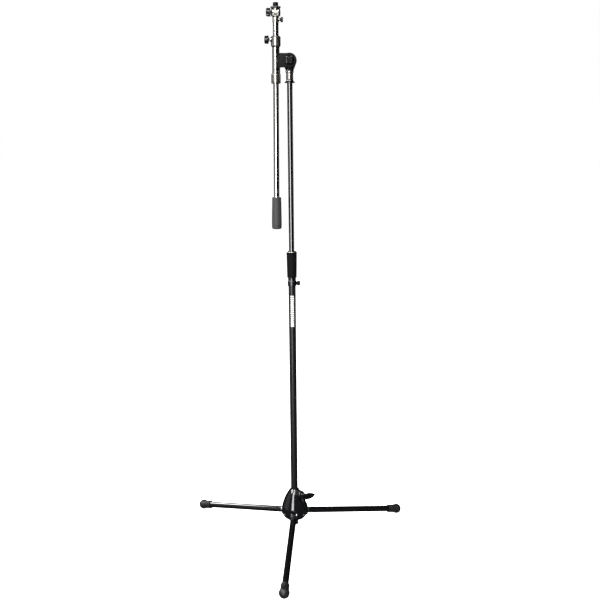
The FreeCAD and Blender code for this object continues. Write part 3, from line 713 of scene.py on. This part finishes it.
@dataclass
class SoftenedCopy:
    """A CAD node whose edges are rounded as casting or machining leaves them.

    The edge is how far each edge is set back, in millimetres. Faces that turn from each other by
    less than the flatness, in degrees, are merged first.
    """

    node: str
    body: str
    slot: str
    name: str
    edge: float = 0.35
    flatness: float = 0.3

    def build(self, along: Vector = UP) -> None:
        """Copy the node, merge its flat faces and round its edges.

        Args:
            along: The direction of its streaks or rings.
        """
        piece = copy_of(self.node, self.name)
        bpy.ops.mesh.dissolve_limited(angle_limit=math.radians(self.flatness))
        soften(self.edge)
        hand_over(piece, ORIGIN_LINE, self.body, self.slot, self.node, along=along)


@dataclass
class LobedKnob:
    """Moulded clamping knob: round lobes, a domed rim, a dished face and a boss underneath.

    The waist is the radius between two lobes, and the boss has a radius and a height. A knob has
    so many steps of vertices from lobe to lobe. A lobe power below 1 makes the lobes broad. The
    rim is straight up to the shoulder drop below its top, and the face is scooped to a share of
    the waist.
    """

    node: str
    line: Line
    body: str
    name: str
    lobes: int
    waist: float
    boss: float
    boss_height: float
    steps: int = 14
    lobe_power: float = 0.8
    shoulder_drop: float = 2.6
    face_share: float = 0.6

    def build(self) -> None:
        """Turn the knob round, then scoop its rim and its face between the lobes."""
        low, high, radius = self.line.extent(self.node)
        under = low + self.boss_height
        shoulder = high - self.shoulder_drop
        rim = [(radius - 0.5, under + 0.5), (radius, under + 1.7), (radius, (under + high - 1) / 2),
               (radius, shoulder), (radius - 0.6, high - 1.0), (radius - 2.0, high - 0.2),
               (radius - 3.4, high)]
        face = [(radius * 0.5, high - 0.15), (radius * 0.22, high - 0.2)]
        foot = [(self.boss, low), (self.boss, under - 0.3), (radius - 1.6, under)]
        knob = turn_up(self.name, foot + rim + face, self.lobes * self.steps)
        for _, height in rim:
            self.scoop(knob, height, min((height - under) / (shoulder - under), 1), radius)
        self.scoop(knob, face[0][1], self.face_share, radius)
        apply_modifier(knob, "SUBSURF", levels=1, render_levels=1)
        hand_over(knob, self.line, self.body, "knob", self.node, crease=50.0,
                  turn=self.line.bearing(self.node))

    def scoop(self, knob: bpy.types.Object, height: float, depth: float, radius: float) -> None:
        """Draw one ring in between the lobes.

        Args:
            knob: The knob, in edit mode.
            height: Height of the ring, in millimetres.
            depth: How much of the full waist this ring gets, from 0 to 1.
            radius: Radius over the lobes, in millimetres.
        """
        for step in range(1, self.steps):
            swell = (0.5 + 0.5 * math.cos(math.tau * step / self.steps)) ** self.lobe_power
            share = 1 - depth * (1 - self.waist / radius) * (1 - swell)
            pick(knob, lambda spot: abs(spot.z - height * MM) < SAME_RING
                 and self.step_of(spot) == step)
            narrow(share, height)

    def step_of(self, spot: Vector) -> int:
        """The number of steps from the crest of a lobe to the column of a place."""
        return round(math.atan2(spot.y, spot.x) / math.tau * self.lobes * self.steps) % self.steps


@dataclass
class Screw:
    """Stud of a thumb screw: a plain shank with a rolled thread."""

    node: str
    joint: str
    body: str
    name: str
    pitch: float
    sides: int = 32
    point: float = 0.6

    def build(self) -> None:
        """Turn the shank with a pointed end, and wind the thread on it."""
        line = Line.of_joint(self.joint)
        low, high, radius = line.extent(self.node)
        root = radius - 0.55 * self.pitch
        shank = turn_up(self.name, [(root - self.point, low), (root, low + self.point),
                                    (root, high)], self.sides)
        ridge = helix(self.name + "_ridge", root - 0.05, radius, low + 0.5, high - 0.1, self.pitch)
        hand_over(merge([shank, ridge]), line, self.body, "steel", self.node, crease=45.0)


# ---- Hub and legs ------------------------------------------------------------------------------
@dataclass
class Hub:
    """Cast hub on the legs, and the wing of its clamp.

    The wing is a leaf on a neck, with half widths, a tip and a hollow for a thumb in millimetres.
    The hollow is pressed in steps, each over a share of the leaf.
    """

    half_wide: float = 10.0
    half_thick: float = 6.0
    tip: float = 1.6
    dimple: float = 1.6
    dimple_shares: tuple[float, ...] = (0.62, 0.5, 0.38, 0.25)
    rings: int = 28
    leaf_sides: int = 40
    neck_radius: float = 6.3
    neck_sides: int = 48

    def build(self) -> None:
        """Make the hub's shell and the wing."""
        self.shell()
        self.wing()

    def shell(self) -> None:
        """Merge the casting so that its dome shades as one smooth skin."""
        piece = copy_of("hub_housing", "hub_shell")
        hand_over(piece, ORIGIN_LINE, "hub", "hub", "hub_housing", along=UP, crease=32.0)

    def wing(self) -> None:
        """Turn a leaf with pointed ends, flatten it, hollow it and set it on its neck."""
        line = Line.of_joint("hub_clamp_turn")
        low, high, reach = line.extent("wing_handle")
        centre = high - self.half_thick
        rise = self.half_wide - self.tip
        curve = (reach ** 2 + rise ** 2) / (2 * rise)
        spots = [-reach + 2 * reach * index / self.rings for index in range(self.rings + 1)]
        leaf = turn_up("clamp_wing", [
            (math.sqrt(curve ** 2 - spot ** 2) - curve + self.half_wide, spot) for spot in spots],
            self.leaf_sides)
        bpy.ops.mesh.select_all(action="SELECT")
        bpy.ops.transform.resize(value=(self.half_thick / self.half_wide, 1, 1),
                                 center_override=(0, 0, 0))
        bpy.ops.transform.rotate(value=math.pi / 2, orient_axis="Y", center_override=(0, 0, 0))
        bpy.ops.transform.translate(value=(0, 0, centre * MM))
        press = -self.dimple / len(self.dimple_shares) * MM
        for share in self.dimple_shares:
            pick(leaf, lambda spot: (spot.x / reach) ** 2 + (spot.y / self.half_wide) ** 2
                 < (share * MM) ** 2 and spot.z > centre * MM)
            bpy.ops.transform.translate(value=(0, 0, press))
        neck = turn_up("clamp_wing_neck", [
            (7.4, low), (8.0, low + 0.6), (8.0, low + 2.2), (7.2, low + 4.6),
            (self.neck_radius, low + 7.2), (self.neck_radius, centre - 2.5),
            (self.neck_radius - 1.5, centre + 0.5)], self.neck_sides)
        carve(leaf, neck, "UNION")
        hand_over(leaf, line, "hub_clamp", "knob", "wing_handle", crease=40.0,
                  turn=line.bearing("wing_handle"))


@dataclass
class Leg:
    """One leg: its rubber foot is made here, and its tube and knuckle come from the frame.

    The foot is a ball on a grooved neck. Its sizes are in millimetres, and its last ring stands at
    the tip angle from the end of the ball, in radians.
    """

    side: str
    ball: float = 15.5
    ball_height: float = 34.0
    ball_rings: int = 19
    neck: float = 12.6
    grooves: int = 3
    groove_start: float = 4.5
    groove_pitch: float = 3.6
    groove_depth: float = 0.45
    clearance: float = 0.02
    tip_angle: float = 0.06
    sides: int = 64

    def build(self) -> None:
        """Turn the foot from the bottom of its socket round to its end, and grind its sole flat."""
        line = Line.of_leg(self.side)
        node = f"leg_{self.side}_foot"
        low, _, _ = line.extent(node)
        _, tube_end, tube = line.extent(f"leg_{self.side}_tube")
        middle = low + self.ball_height
        bore = tube + self.clearance
        outline = [(bore, tube_end + 0.1), (bore, low), (self.neck - 1.0, low),
                   (self.neck - 0.3, low + 0.3), (self.neck, low + 1)]
        for groove in range(self.grooves):
            start = low + self.groove_start + self.groove_pitch * groove
            floor = self.neck - self.groove_depth
            outline += [(self.neck, start), (floor, start + 0.35), (floor, start + 0.95),
                        (self.neck, start + 1.3)]
        outline += [(self.neck + 0.2, low + 17), (self.neck + 0.45, middle - 13)]
        sweep = math.pi - math.asin((self.neck + 0.35) / self.ball)
        for index in range(self.ball_rings):
            turn = sweep - (sweep - self.tip_angle) * (index + 1) / self.ball_rings
            outline.append((self.ball * math.sin(turn), middle + self.ball * math.cos(turn)))
        foot = turn_up(f"leg_{self.side}_foot_cap", outline, self.sides)
        activate(foot)
        foot.matrix_world = line.place()
        fix_place()
        open_up()
        bpy.ops.mesh.bisect(plane_co=(0, 0, 0), plane_no=(0, 0, 1), use_fill=True, clear_inner=True,
                            threshold=WELD)
        hand_over(foot, ORIGIN_LINE, f"leg_{self.side}", "foot_rubber", node, along=line.axis)


# ---- Mast --------------------------------------------------------------------------------------
@dataclass
class Mast:
    """The mast's grip, thumb screw, flanges and printed mark.

    Sizes are in millimetres. The mark is a column of bars that reaches so many degrees to each
    side of the front, and stands a little proud of the tube.
    """

    mark_low: float = 694.0
    mark_pitch: float = 6.6
    mark_fill: float = 0.68
    mark_bars: int = 15
    mark_half_width: float = 30.0
    mark_proud: float = 0.05
    mark_thick: float = 0.04
    sides: int = 96
    grip_bore: float = 13.22
    nut_bore: float = 9.2
    screw_head: float = 9.4
    screw_sides: int = 60
    flute_every: int = 3
    flute_share: float = 0.9

    def build(self) -> None:
        """Make the mast's pieces from the bottom up."""
        self.mark()
        self.grip()
        self.thumb_screw()
        for node, slot, body in (("clutch_body", "clutch_metal", "lower_mast"),
                                 ("mast_lock_flange", "flange_metal", "mast_lock"),
                                 ("mast_end_collar", "zinc_black", "lower_mast")):
            SoftenedCopy(node, body, slot, node + "_turned", edge=0.25).build()

    def mark(self) -> None:
        """Print a column of plain bars on the front of the lower tube."""
        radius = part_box("lower_tube")[1].x / MM + self.mark_proud
        inner = radius - self.mark_thick
        top = self.mark_low + self.mark_pitch * self.mark_fill
        mark = turn_up("tube_mark", [(inner, self.mark_low), (radius, self.mark_low),
                                     (radius, top), (inner, top)], self.sides, closed=True)
        edge = -radius * MM * math.cos(math.radians(self.mark_half_width))
        pick(mark, lambda spot: spot.y > edge)
        bpy.ops.mesh.delete(type="VERT")
        apply_modifier(mark, "ARRAY", count=self.mark_bars, use_relative_offset=False,
                       use_constant_offset=True,
                       constant_offset_displace=(0, 0, self.mark_pitch * MM))
        hand_over(mark, ORIGIN_LINE, "lower_mast", "print")

    def grip(self) -> None:
        """Turn the clutch's grip with a groove near each end, and the nut's lip on top of it."""
        low, high, _ = ORIGIN_LINE.extent("clutch_grip")
        bore, mouth = self.grip_bore, self.nut_bore
        grip = turn_up("clutch_grip_sleeve", [
            (bore, low + 3), (12.7, low + 3), (12.7, low), (13.7, low), (14.3, low + 0.4),
            (14.5, low + 1.4), (14.6, low + 5.0), (14.2, low + 5.4), (14.2, low + 6.2),
            (14.62, low + 6.6), (15.1, high - 40), (15.45, high - 12), (15.05, high - 11.6),
            (15.05, high - 10.8), (15.5, high - 10.4), (15.75, high - 6), (15.6, high - 3.6),
            (15.2, high - 2.6), (14.5, high - 2.1), (mouth, high - 2.0), (mouth, high - 2.9),
            (bore, high - 2.9)], self.sides, closed=True)
        hand_over(grip, ORIGIN_LINE, "clutch", "grip_rubber", "clutch_grip")
        lip = turn_up("clutch_nut_lip", [
            (mouth, high - 1.95), (14.3, high - 1.95), (14.5, high - 1.7), (14.4, high - 1.4),
            (13.4, high - 0.2), (13.0, high), (mouth + 0.5, high), (mouth, high - 0.5)],
            self.sides, closed=True)
        hand_over(lip, ORIGIN_LINE, "clutch", "clutch_metal", finish="collar_metal")

    def thumb_screw(self) -> None:
        """Turn the clutch collar's screw, with a fluted head and a dished end."""
        line = Line.of_joint("collar_screw_turn")
        low, high, radius = line.extent("collar_thumb_screw")
        head = high - self.screw_head
        screw = turn_up("collar_screw_fluted", [
            (2.6, low), (3.0, low + 0.4), (3.0, low + 1.6), (4.4, low + 2.2), (4.4, head - 0.5),
            (radius - 0.9, head - 0.1), (radius, head + 0.8), (radius, high - 1.2),
            (radius - 0.5, high - 0.4), (radius - 1.4, high), (radius * 0.55, high - 0.1),
            (radius * 0.45, high - 0.6)], self.screw_sides)
        flute_low, flute_high = (head + 0.5) * MM, (high - 0.8) * MM
        pick(screw, lambda spot: spot.xy.length > (radius - 0.2) * MM
             and flute_low < spot.z < flute_high
             and on_column(spot, self.screw_sides, self.flute_every))
        narrow(self.flute_share, head)
        hand_over(screw, line, "collar_screw", "knob", "collar_thumb_screw", crease=30.0,
                  finish="casting")


# ---- Swivel ------------------------------------------------------------------------------------
@dataclass
class Swivel:
    """Friction swivel: its castings, stem, bolt and knob. Sizes are in millimetres."""

    socket_width: float = 6.0
    socket_depth: float = 3.0
    bolt_shank: float = 4.0
    bolt_sides: int = 64

    def build(self) -> None:
        """Make the swivel's pieces."""
        SoftenedCopy("swivel_base", "swivel", "casting", "swivel_base_cast", edge=0.5).build()
        SoftenedCopy("boom_yoke", "boom_holder", "casting", "boom_yoke_cast", edge=0.5).build()
        SoftenedCopy("swivel_stem", "swivel", "collar_metal", "swivel_stem_turned",
                     edge=0.2).build()
        self.bolt()
        LobedKnob("tension_knob", Line.of_joint("tension_knob_turn").reversed(), "swivel_knob",
                  "swivel_knob_moulded", lobes=4, waist=7.6, boss=7.5, boss_height=3.4).build()

    def bolt(self) -> None:
        """Turn the bolt with a domed head and sink a hexagonal socket in it."""
        line = Line(Line.of_joint("boom_tilt").point, Vector((0, 1, 0)))
        low, high, radius = line.extent("tension_bolt")
        shank, seat = self.bolt_shank, high - 5.4
        bolt = turn_up("swivel_bolt", [
            (shank - 0.6, low), (shank, low + 0.6), (shank, seat), (radius, seat),
            (radius, high - 1.6), (radius - 0.5, high - 0.7), (radius - 1.6, high - 0.15),
            (radius - 3.0, high)], self.bolt_sides)
        corner = self.socket_width / math.sqrt(3)
        socket = turn_up("socket", [(corner, high - self.socket_depth), (corner, high + 2)], 6)
        carve(bolt, socket)
        hand_over(bolt, line, "swivel", "zinc_black", "tension_bolt", crease=30.0)


# ---- Boom --------------------------------------------------------------------------------------
@dataclass
class Boom:
    """The boom: collars, lock screws, knobs and the weighted grip. Sizes are in millimetres."""

    grip_sides: int = 96
    grip_clearance: float = 0.02
    knob_sides: int = 72
    rim_thick: float = 5.4
    flute_every: int = 4
    flute_share: float = 0.92

    def build(self) -> None:
        """Make the boom's pieces from the grip up."""
        along = Line.of_boom().axis
        self.grip()
        for node, body in (("sleeve_end_collar", "boom_holder"),
                           ("sleeve_lock_collar", "boom_holder"), ("boom_end_collar", "boom")):
            SoftenedCopy(node, body, "collar_metal", node + "_turned", edge=0.25).build(along)
        LobedKnob("boom_lock_knob", Line.of_joint("boom_lock_turn"), "boom_lock",
                  "boom_lock_knob_moulded", lobes=3, waist=6.6, boss=5.0, boss_height=2.2).build()
        for lock, pitch in (("boom_lock", 0.8), ("end_lock", 0.7)):
            Screw(f"{lock}_screw", f"{lock}_turn", lock, f"{lock}_screw_threaded", pitch).build()
        self.end_knob()

    def grip(self) -> None:
        """Turn the rubber sleeve of the counterweight: a round end, a step and a long taper."""
        line = Line.of_boom()
        low, high, radius = line.extent("boom_grip")
        bore = line.extent("boom_tube")[2] + self.grip_clearance
        step = low + 12
        grip = turn_up("boom_grip_sleeve", [
            (bore, low + 10), (bore, high), (12.0, high), (13.0, high - 0.5), (13.5, high - 1.6),
            (13.6, high - 7.0), (13.2, high - 7.4), (13.2, high - 8.2), (13.62, high - 8.6),
            (14.3, (high + step) / 2), (radius, step + 0.7), (14.5, step + 0.3), (14.0, step),
            (14.0, step - 0.6), (14.7, step - 1.2), (14.7, low + 5), (14.1, low + 2.9),
            (12.8, low + 1.2), (11.0, low + 0.35), (9.0, low), (4.0, low), (3.4, low + 0.6)],
            self.grip_sides)
        hand_over(grip, line, "boom", "grip_rubber", "boom_grip", finish="weight_rubber")

    def end_knob(self) -> None:
        """Turn the waisted thumb knob and press flutes round its rim."""
        line = Line.of_joint("end_lock_turn")
        low, high, radius = line.extent("end_lock_knob")
        rim_low = high - self.rim_thick
        knob = turn_up("end_lock_knob_fluted", [
            (3.0, low), (3.4, low + 0.4), (3.7, low + 1.7), (5.2, low + 2.6),
            (radius - 0.8, rim_low - 0.5), (radius, rim_low + 0.3), (radius, high - 1.4),
            (radius - 0.5, high - 0.5), (radius - 1.6, high), (radius * 0.6, high - 0.1),
            (radius * 0.5, high - 0.5)], self.knob_sides)
        pick(knob, lambda spot: spot.xy.length > (radius - 0.2) * MM
             and on_column(spot, self.knob_sides, self.flute_every))
        narrow(self.flute_share, rim_low)
        hand_over(knob, line, "end_lock", "knob", "end_lock_knob", crease=30.0)


# ---- Head --------------------------------------------------------------------------------------
@dataclass
class Head:
    """Tilting head: fork, tongue, threaded stud, round nut, bolt and knob.

    Sizes are in millimetres. The thread is 27 to the inch.
    """

    thread_pitch: float = 0.94
    thread_root: float = 7.45
    stud_foot: float = 4.0
    stud_sides: int = 64
    nut_bore: float = 7.66
    nut_sides: int = 120
    knurl_every: int = 2
    knurl_share: float = 0.978
    bolt_shank: float = 3.0
    bolt_sides: int = 56
    slot: tuple[float, float, float] = (1.4, 20.0, 2.6)

    def build(self) -> None:
        """Make the head's pieces."""
        along = Line.of_boom().axis
        SoftenedCopy("head_fork", "extension", "collar_metal", "head_fork_milled",
                     edge=0.4).build(along)
        SoftenedCopy("head_tongue", "head", "collar_metal", "head_tongue_milled",
                     edge=0.3).build(along)
        self.stud()
        self.nut()
        self.bolt()
        LobedKnob("tilt_knob", Line.of_joint("tilt_knob_turn"), "head_knob",
                  "tilt_knob_moulded", lobes=5, waist=8.6, boss=7.0, boss_height=1.1).build()

    def stud(self) -> None:
        """Turn the stud's core with a chamfered, drilled top, and wind its fine thread."""
        line = Line.of_joint("clip_nut_turn")
        low, high, radius = line.extent("mic_stud")
        nut_low, nut_high, _ = line.extent("stud_flange_nut")
        seat, root = nut_low - 0.1, self.thread_root
        core = turn_up("mic_stud_core", [
            (self.stud_foot, low), (self.stud_foot, seat), (root, seat), (root, high - 0.8),
            (root - 0.8, high), (3.4, high), (3.1, high - 0.3), (3.1, high - 6)], self.stud_sides)
        ridge = helix("mic_stud_ridge", root - 0.1, radius, nut_high + 0.4, high - 0.5,
                      self.thread_pitch)
        hand_over(merge([core, ridge]), line, "head", "stud_metal", "mic_stud", crease=40.0)

    def nut(self) -> None:
        """Turn the round nut and knurl its rim."""
        line = Line.of_joint("clip_nut_turn")
        low, high, radius = line.extent("stud_flange_nut")
        bore = self.nut_bore
        nut = turn_up("stud_nut_knurled", [
            (bore, low + 0.5), (bore + 0.5, low), (12.2, low), (12.6, low + 0.2),
            (radius - 0.1, low + 2.0), (radius, low + 2.3), (radius, high - 0.7),
            (radius - 0.5, high - 0.1), (radius - 0.9, high), (bore + 0.5, high),
            (bore, high - 0.5)], self.nut_sides, closed=True)
        pick(nut, lambda spot: spot.xy.length > (radius - 0.05) * MM
             and on_column(spot, self.nut_sides, self.knurl_every))
        narrow(self.knurl_share, low)
        hand_over(nut, line, "clip_nut", "flange_metal", "stud_flange_nut", crease=25.0)

    def bolt(self) -> None:
        """Turn the bolt through the fork, with a slotted head in the right-hand cheek."""
        line = Line.of_joint("tilt_knob_turn").reversed()
        low, high, radius = line.extent("tilt_bolt")
        shank, seat = self.bolt_shank, high - 3.4
        bolt = turn_up("tilt_bolt_slotted", [
            (shank - 0.5, low), (shank, low + 0.5), (shank, seat), (radius, seat),
            (radius, high - 0.9), (radius - 0.4, high - 0.3), (radius - 1.2, high)],
            self.bolt_sides)
        deselect()
        bpy.ops.mesh.primitive_cube_add(size=1, location=(0, 0, high * MM))
        cutter = bpy.context.object
        cutter.scale = Vector(self.slot) * MM
        fix_place()
        carve(bolt, cutter)
        hand_over(bolt, line, "extension", "zinc_black", "tilt_bolt", crease=30.0)


# ---- Studio ------------------------------------------------------------------------------------
@dataclass(frozen=True)
class Softbox:
    """A lamp panel that faces the stand, with its lower and its upper edge level.

    Bearing is from the camera's side, in degrees, and left is negative. Heights and distances
    from the mast are those of the lower and the upper edge.
    """

    name: str
    bearing: float
    heights: tuple[float, float]
    distances: tuple[float, float]
    width: float
    radiance: float

    def build(self) -> None:
        """Hang the panel between its two edges."""
        turn = math.radians(self.bearing)
        outward = Vector((math.sin(turn), -math.cos(turn), 0))
        lower, upper = (outward * distance + UP * height
                        for distance, height in zip(self.distances, self.heights))
        across = Vector((math.cos(turn), math.sin(turn), 0))
        upward = (upper - lower).normalized()
        data = bpy.data.lights.new(self.name, "AREA")
        data.shape = "RECTANGLE"
        data.size = self.width
        data.size_y = (upper - lower).length
        data.energy = self.radiance * math.pi * data.size * data.size_y
        lamp = bpy.data.objects.new(self.name, data)
        lamp.matrix_world = Matrix.Translation((lower + upper) / 2) @ Matrix(
            (across, upward, across.cross(upward))).transposed().to_4x4()
        lamp.visible_camera = False
        bpy.context.scene.collection.objects.link(lamp)


@dataclass
class Studio:
    """Pale floor and surround, softboxes and the camera.

    The floor lies a little below the soles, so that the two don't flicker. The camera's pitch and
    roll are in degrees, and its lens and its sensor in millimetres.
    """

    camera_at: tuple[float, float, float] = (0.0238, -2.641, 1.299)
    pitch: float = 11.21
    roll: float = -0.56
    lens: float = 52.794
    sensor: float = 36.0
    nearest: float = 0.05
    floor_half: float = 40.0
    floor_below: float = 0.0006
    floor_glow: float = 1.0
    paper_grains: float = 300.0
    surround_light: float = 0.004
    surround_seen: float = 1.0
    softboxes: tuple[Softbox, ...] = (
        Softbox("key_strip", bearing=-17, heights=(-0.2, 3.2), distances=(3.0, 3.0),
                width=1.0, radiance=13.0),
        Softbox("overhead", bearing=1, heights=(2.6, 4.0), distances=(2.8, 0.9),
                width=1.6, radiance=12.0),
        Softbox("left_wall", bearing=-80, heights=(-0.4, 2.2), distances=(3.2, 3.2),
                width=2.8, radiance=0.42),
        Softbox("left_high", bearing=-66, heights=(2.3, 4.2), distances=(2.8, 2.2),
                width=1.6, radiance=22.0),
        Softbox("left_back", bearing=-122, heights=(2.55, 3.55), distances=(4.2, 4.2),
                width=1.9, radiance=26.0),
        Softbox("right_high", bearing=48, heights=(2.2, 3.8), distances=(3.2, 2.8),
                width=0.4, radiance=3.0),
        Softbox("right_rim", bearing=103, heights=(0.2, 1.55), distances=(3.4, 3.4),
                width=0.4, radiance=2.2),
    )

    def build(self) -> None:
        """Set up the whole studio."""
        self.floor()
        self.surround()
        for softbox in self.softboxes:
            softbox.build()
        self.camera()

    def floor(self) -> None:
        """Lay a pale floor that is lit nearly white and that gloss surfaces don't mirror."""
        deselect()
        bpy.ops.mesh.primitive_plane_add(size=2 * self.floor_half,
                                         location=(0, 0, -self.floor_below))
        floor = bpy.context.object
        floor.name = "studio_floor"
        floor.visible_glossy = False
        floor.visible_shadow = False
        # Seamless paper is matt and hardly shows its fibres, which are drawn 3 mm long.
        material = bpy.data.materials.new("pale_seamless_paper")
        material.use_nodes = True
        tree = material.node_tree
        tree.nodes.clear()
        place = add(tree, "ShaderNodeTexCoord").outputs["Object"]
        fibre = add(tree, "ShaderNodeTexNoise", {"Vector": place, "Scale": self.paper_grains})
        tone = add(tree, "ShaderNodeMix", {
            "Factor": fibre.outputs["Fac"], 6: linear("#f4f4f3"), 7: linear("#fafaf9")},
            data_type="RGBA")
        shader = add(tree, "ShaderNodeBsdfPrincipled", {
            "Base Color": tone.outputs[2], "Roughness": 0.9, "Specular IOR Level": 0.0,
            "Emission Color": WHITE, "Emission Strength": self.floor_glow})
        add(tree, "ShaderNodeOutputMaterial", {"Surface": shader.outputs[0]})
        floor.data.materials.append(material)

    def surround(self) -> None:
        """Make the surround white to look at and dim as a light."""
        world = bpy.data.worlds.new("studio_surround")
        world.use_nodes = True
        tree = world.node_tree
        tree.nodes.clear()
        seen = add(tree, "ShaderNodeLightPath").outputs["Is Camera Ray"]
        dim, white = (add(tree, "ShaderNodeBackground", {"Color": WHITE, "Strength": strength})
                      for strength in (self.surround_light, self.surround_seen))
        mix = add(tree, "ShaderNodeMixShader", {0: seen, 1: dim.outputs[0], 2: white.outputs[0]})
        add(tree, "ShaderNodeOutputWorld", {"Surface": mix.outputs[0]})
        bpy.context.scene.world = world
        bpy.context.scene.view_settings.view_transform = "Standard"

    def camera(self) -> None:
        """Stand the camera level with the upper half of the mast, tipped down."""
        data = bpy.data.cameras.new("camera")
        data.lens = self.lens
        data.sensor_width = self.sensor
        data.clip_start = self.nearest
        camera = bpy.data.objects.new("camera", data)
        tip, turn = math.radians(self.pitch), math.radians(self.roll)
        ahead = Vector((0, math.cos(tip), -math.sin(tip)))
        top = Vector((0, math.sin(tip), math.cos(tip)))
        side = Vector((1, 0, 0))
        right = side * math.cos(turn) + top * math.sin(turn)
        upright = top * math.cos(turn) - side * math.sin(turn)
        camera.matrix_world = Matrix.Translation(self.camera_at) @ Matrix(
            (right, upright, -ahead)).transposed().to_4x4()
        bpy.context.scene.collection.objects.link(camera)
        bpy.context.scene.camera = camera


def dress_frame() -> None:
    """Give every CAD node that still shows the finish of its own slot."""
    leg_lines = {side: Line.of_leg(side).axis for side in SIDES}
    for name, node in NODES.items():
        slot = node.data.materials[0].name
        along = next((axis for side, axis in leg_lines.items()
                      if name.startswith(f"leg_{side}")), UP)
        PAINT.dress(node, slot, along)


def main() -> None:
    """Dress the frame, build the stand's sub-assemblies in order, then the studio."""
    logging.basicConfig(level=logging.INFO, format="%(name)s %(message)s")
    dress_frame()
    for assembly in (Hub(), *map(Leg, SIDES), Mast(), Swivel(), Boom(), Head(), Studio()):
        log.info("building the %s", type(assembly).__name__.lower())
        assembly.build()


if __name__ == "__main__":
    main()
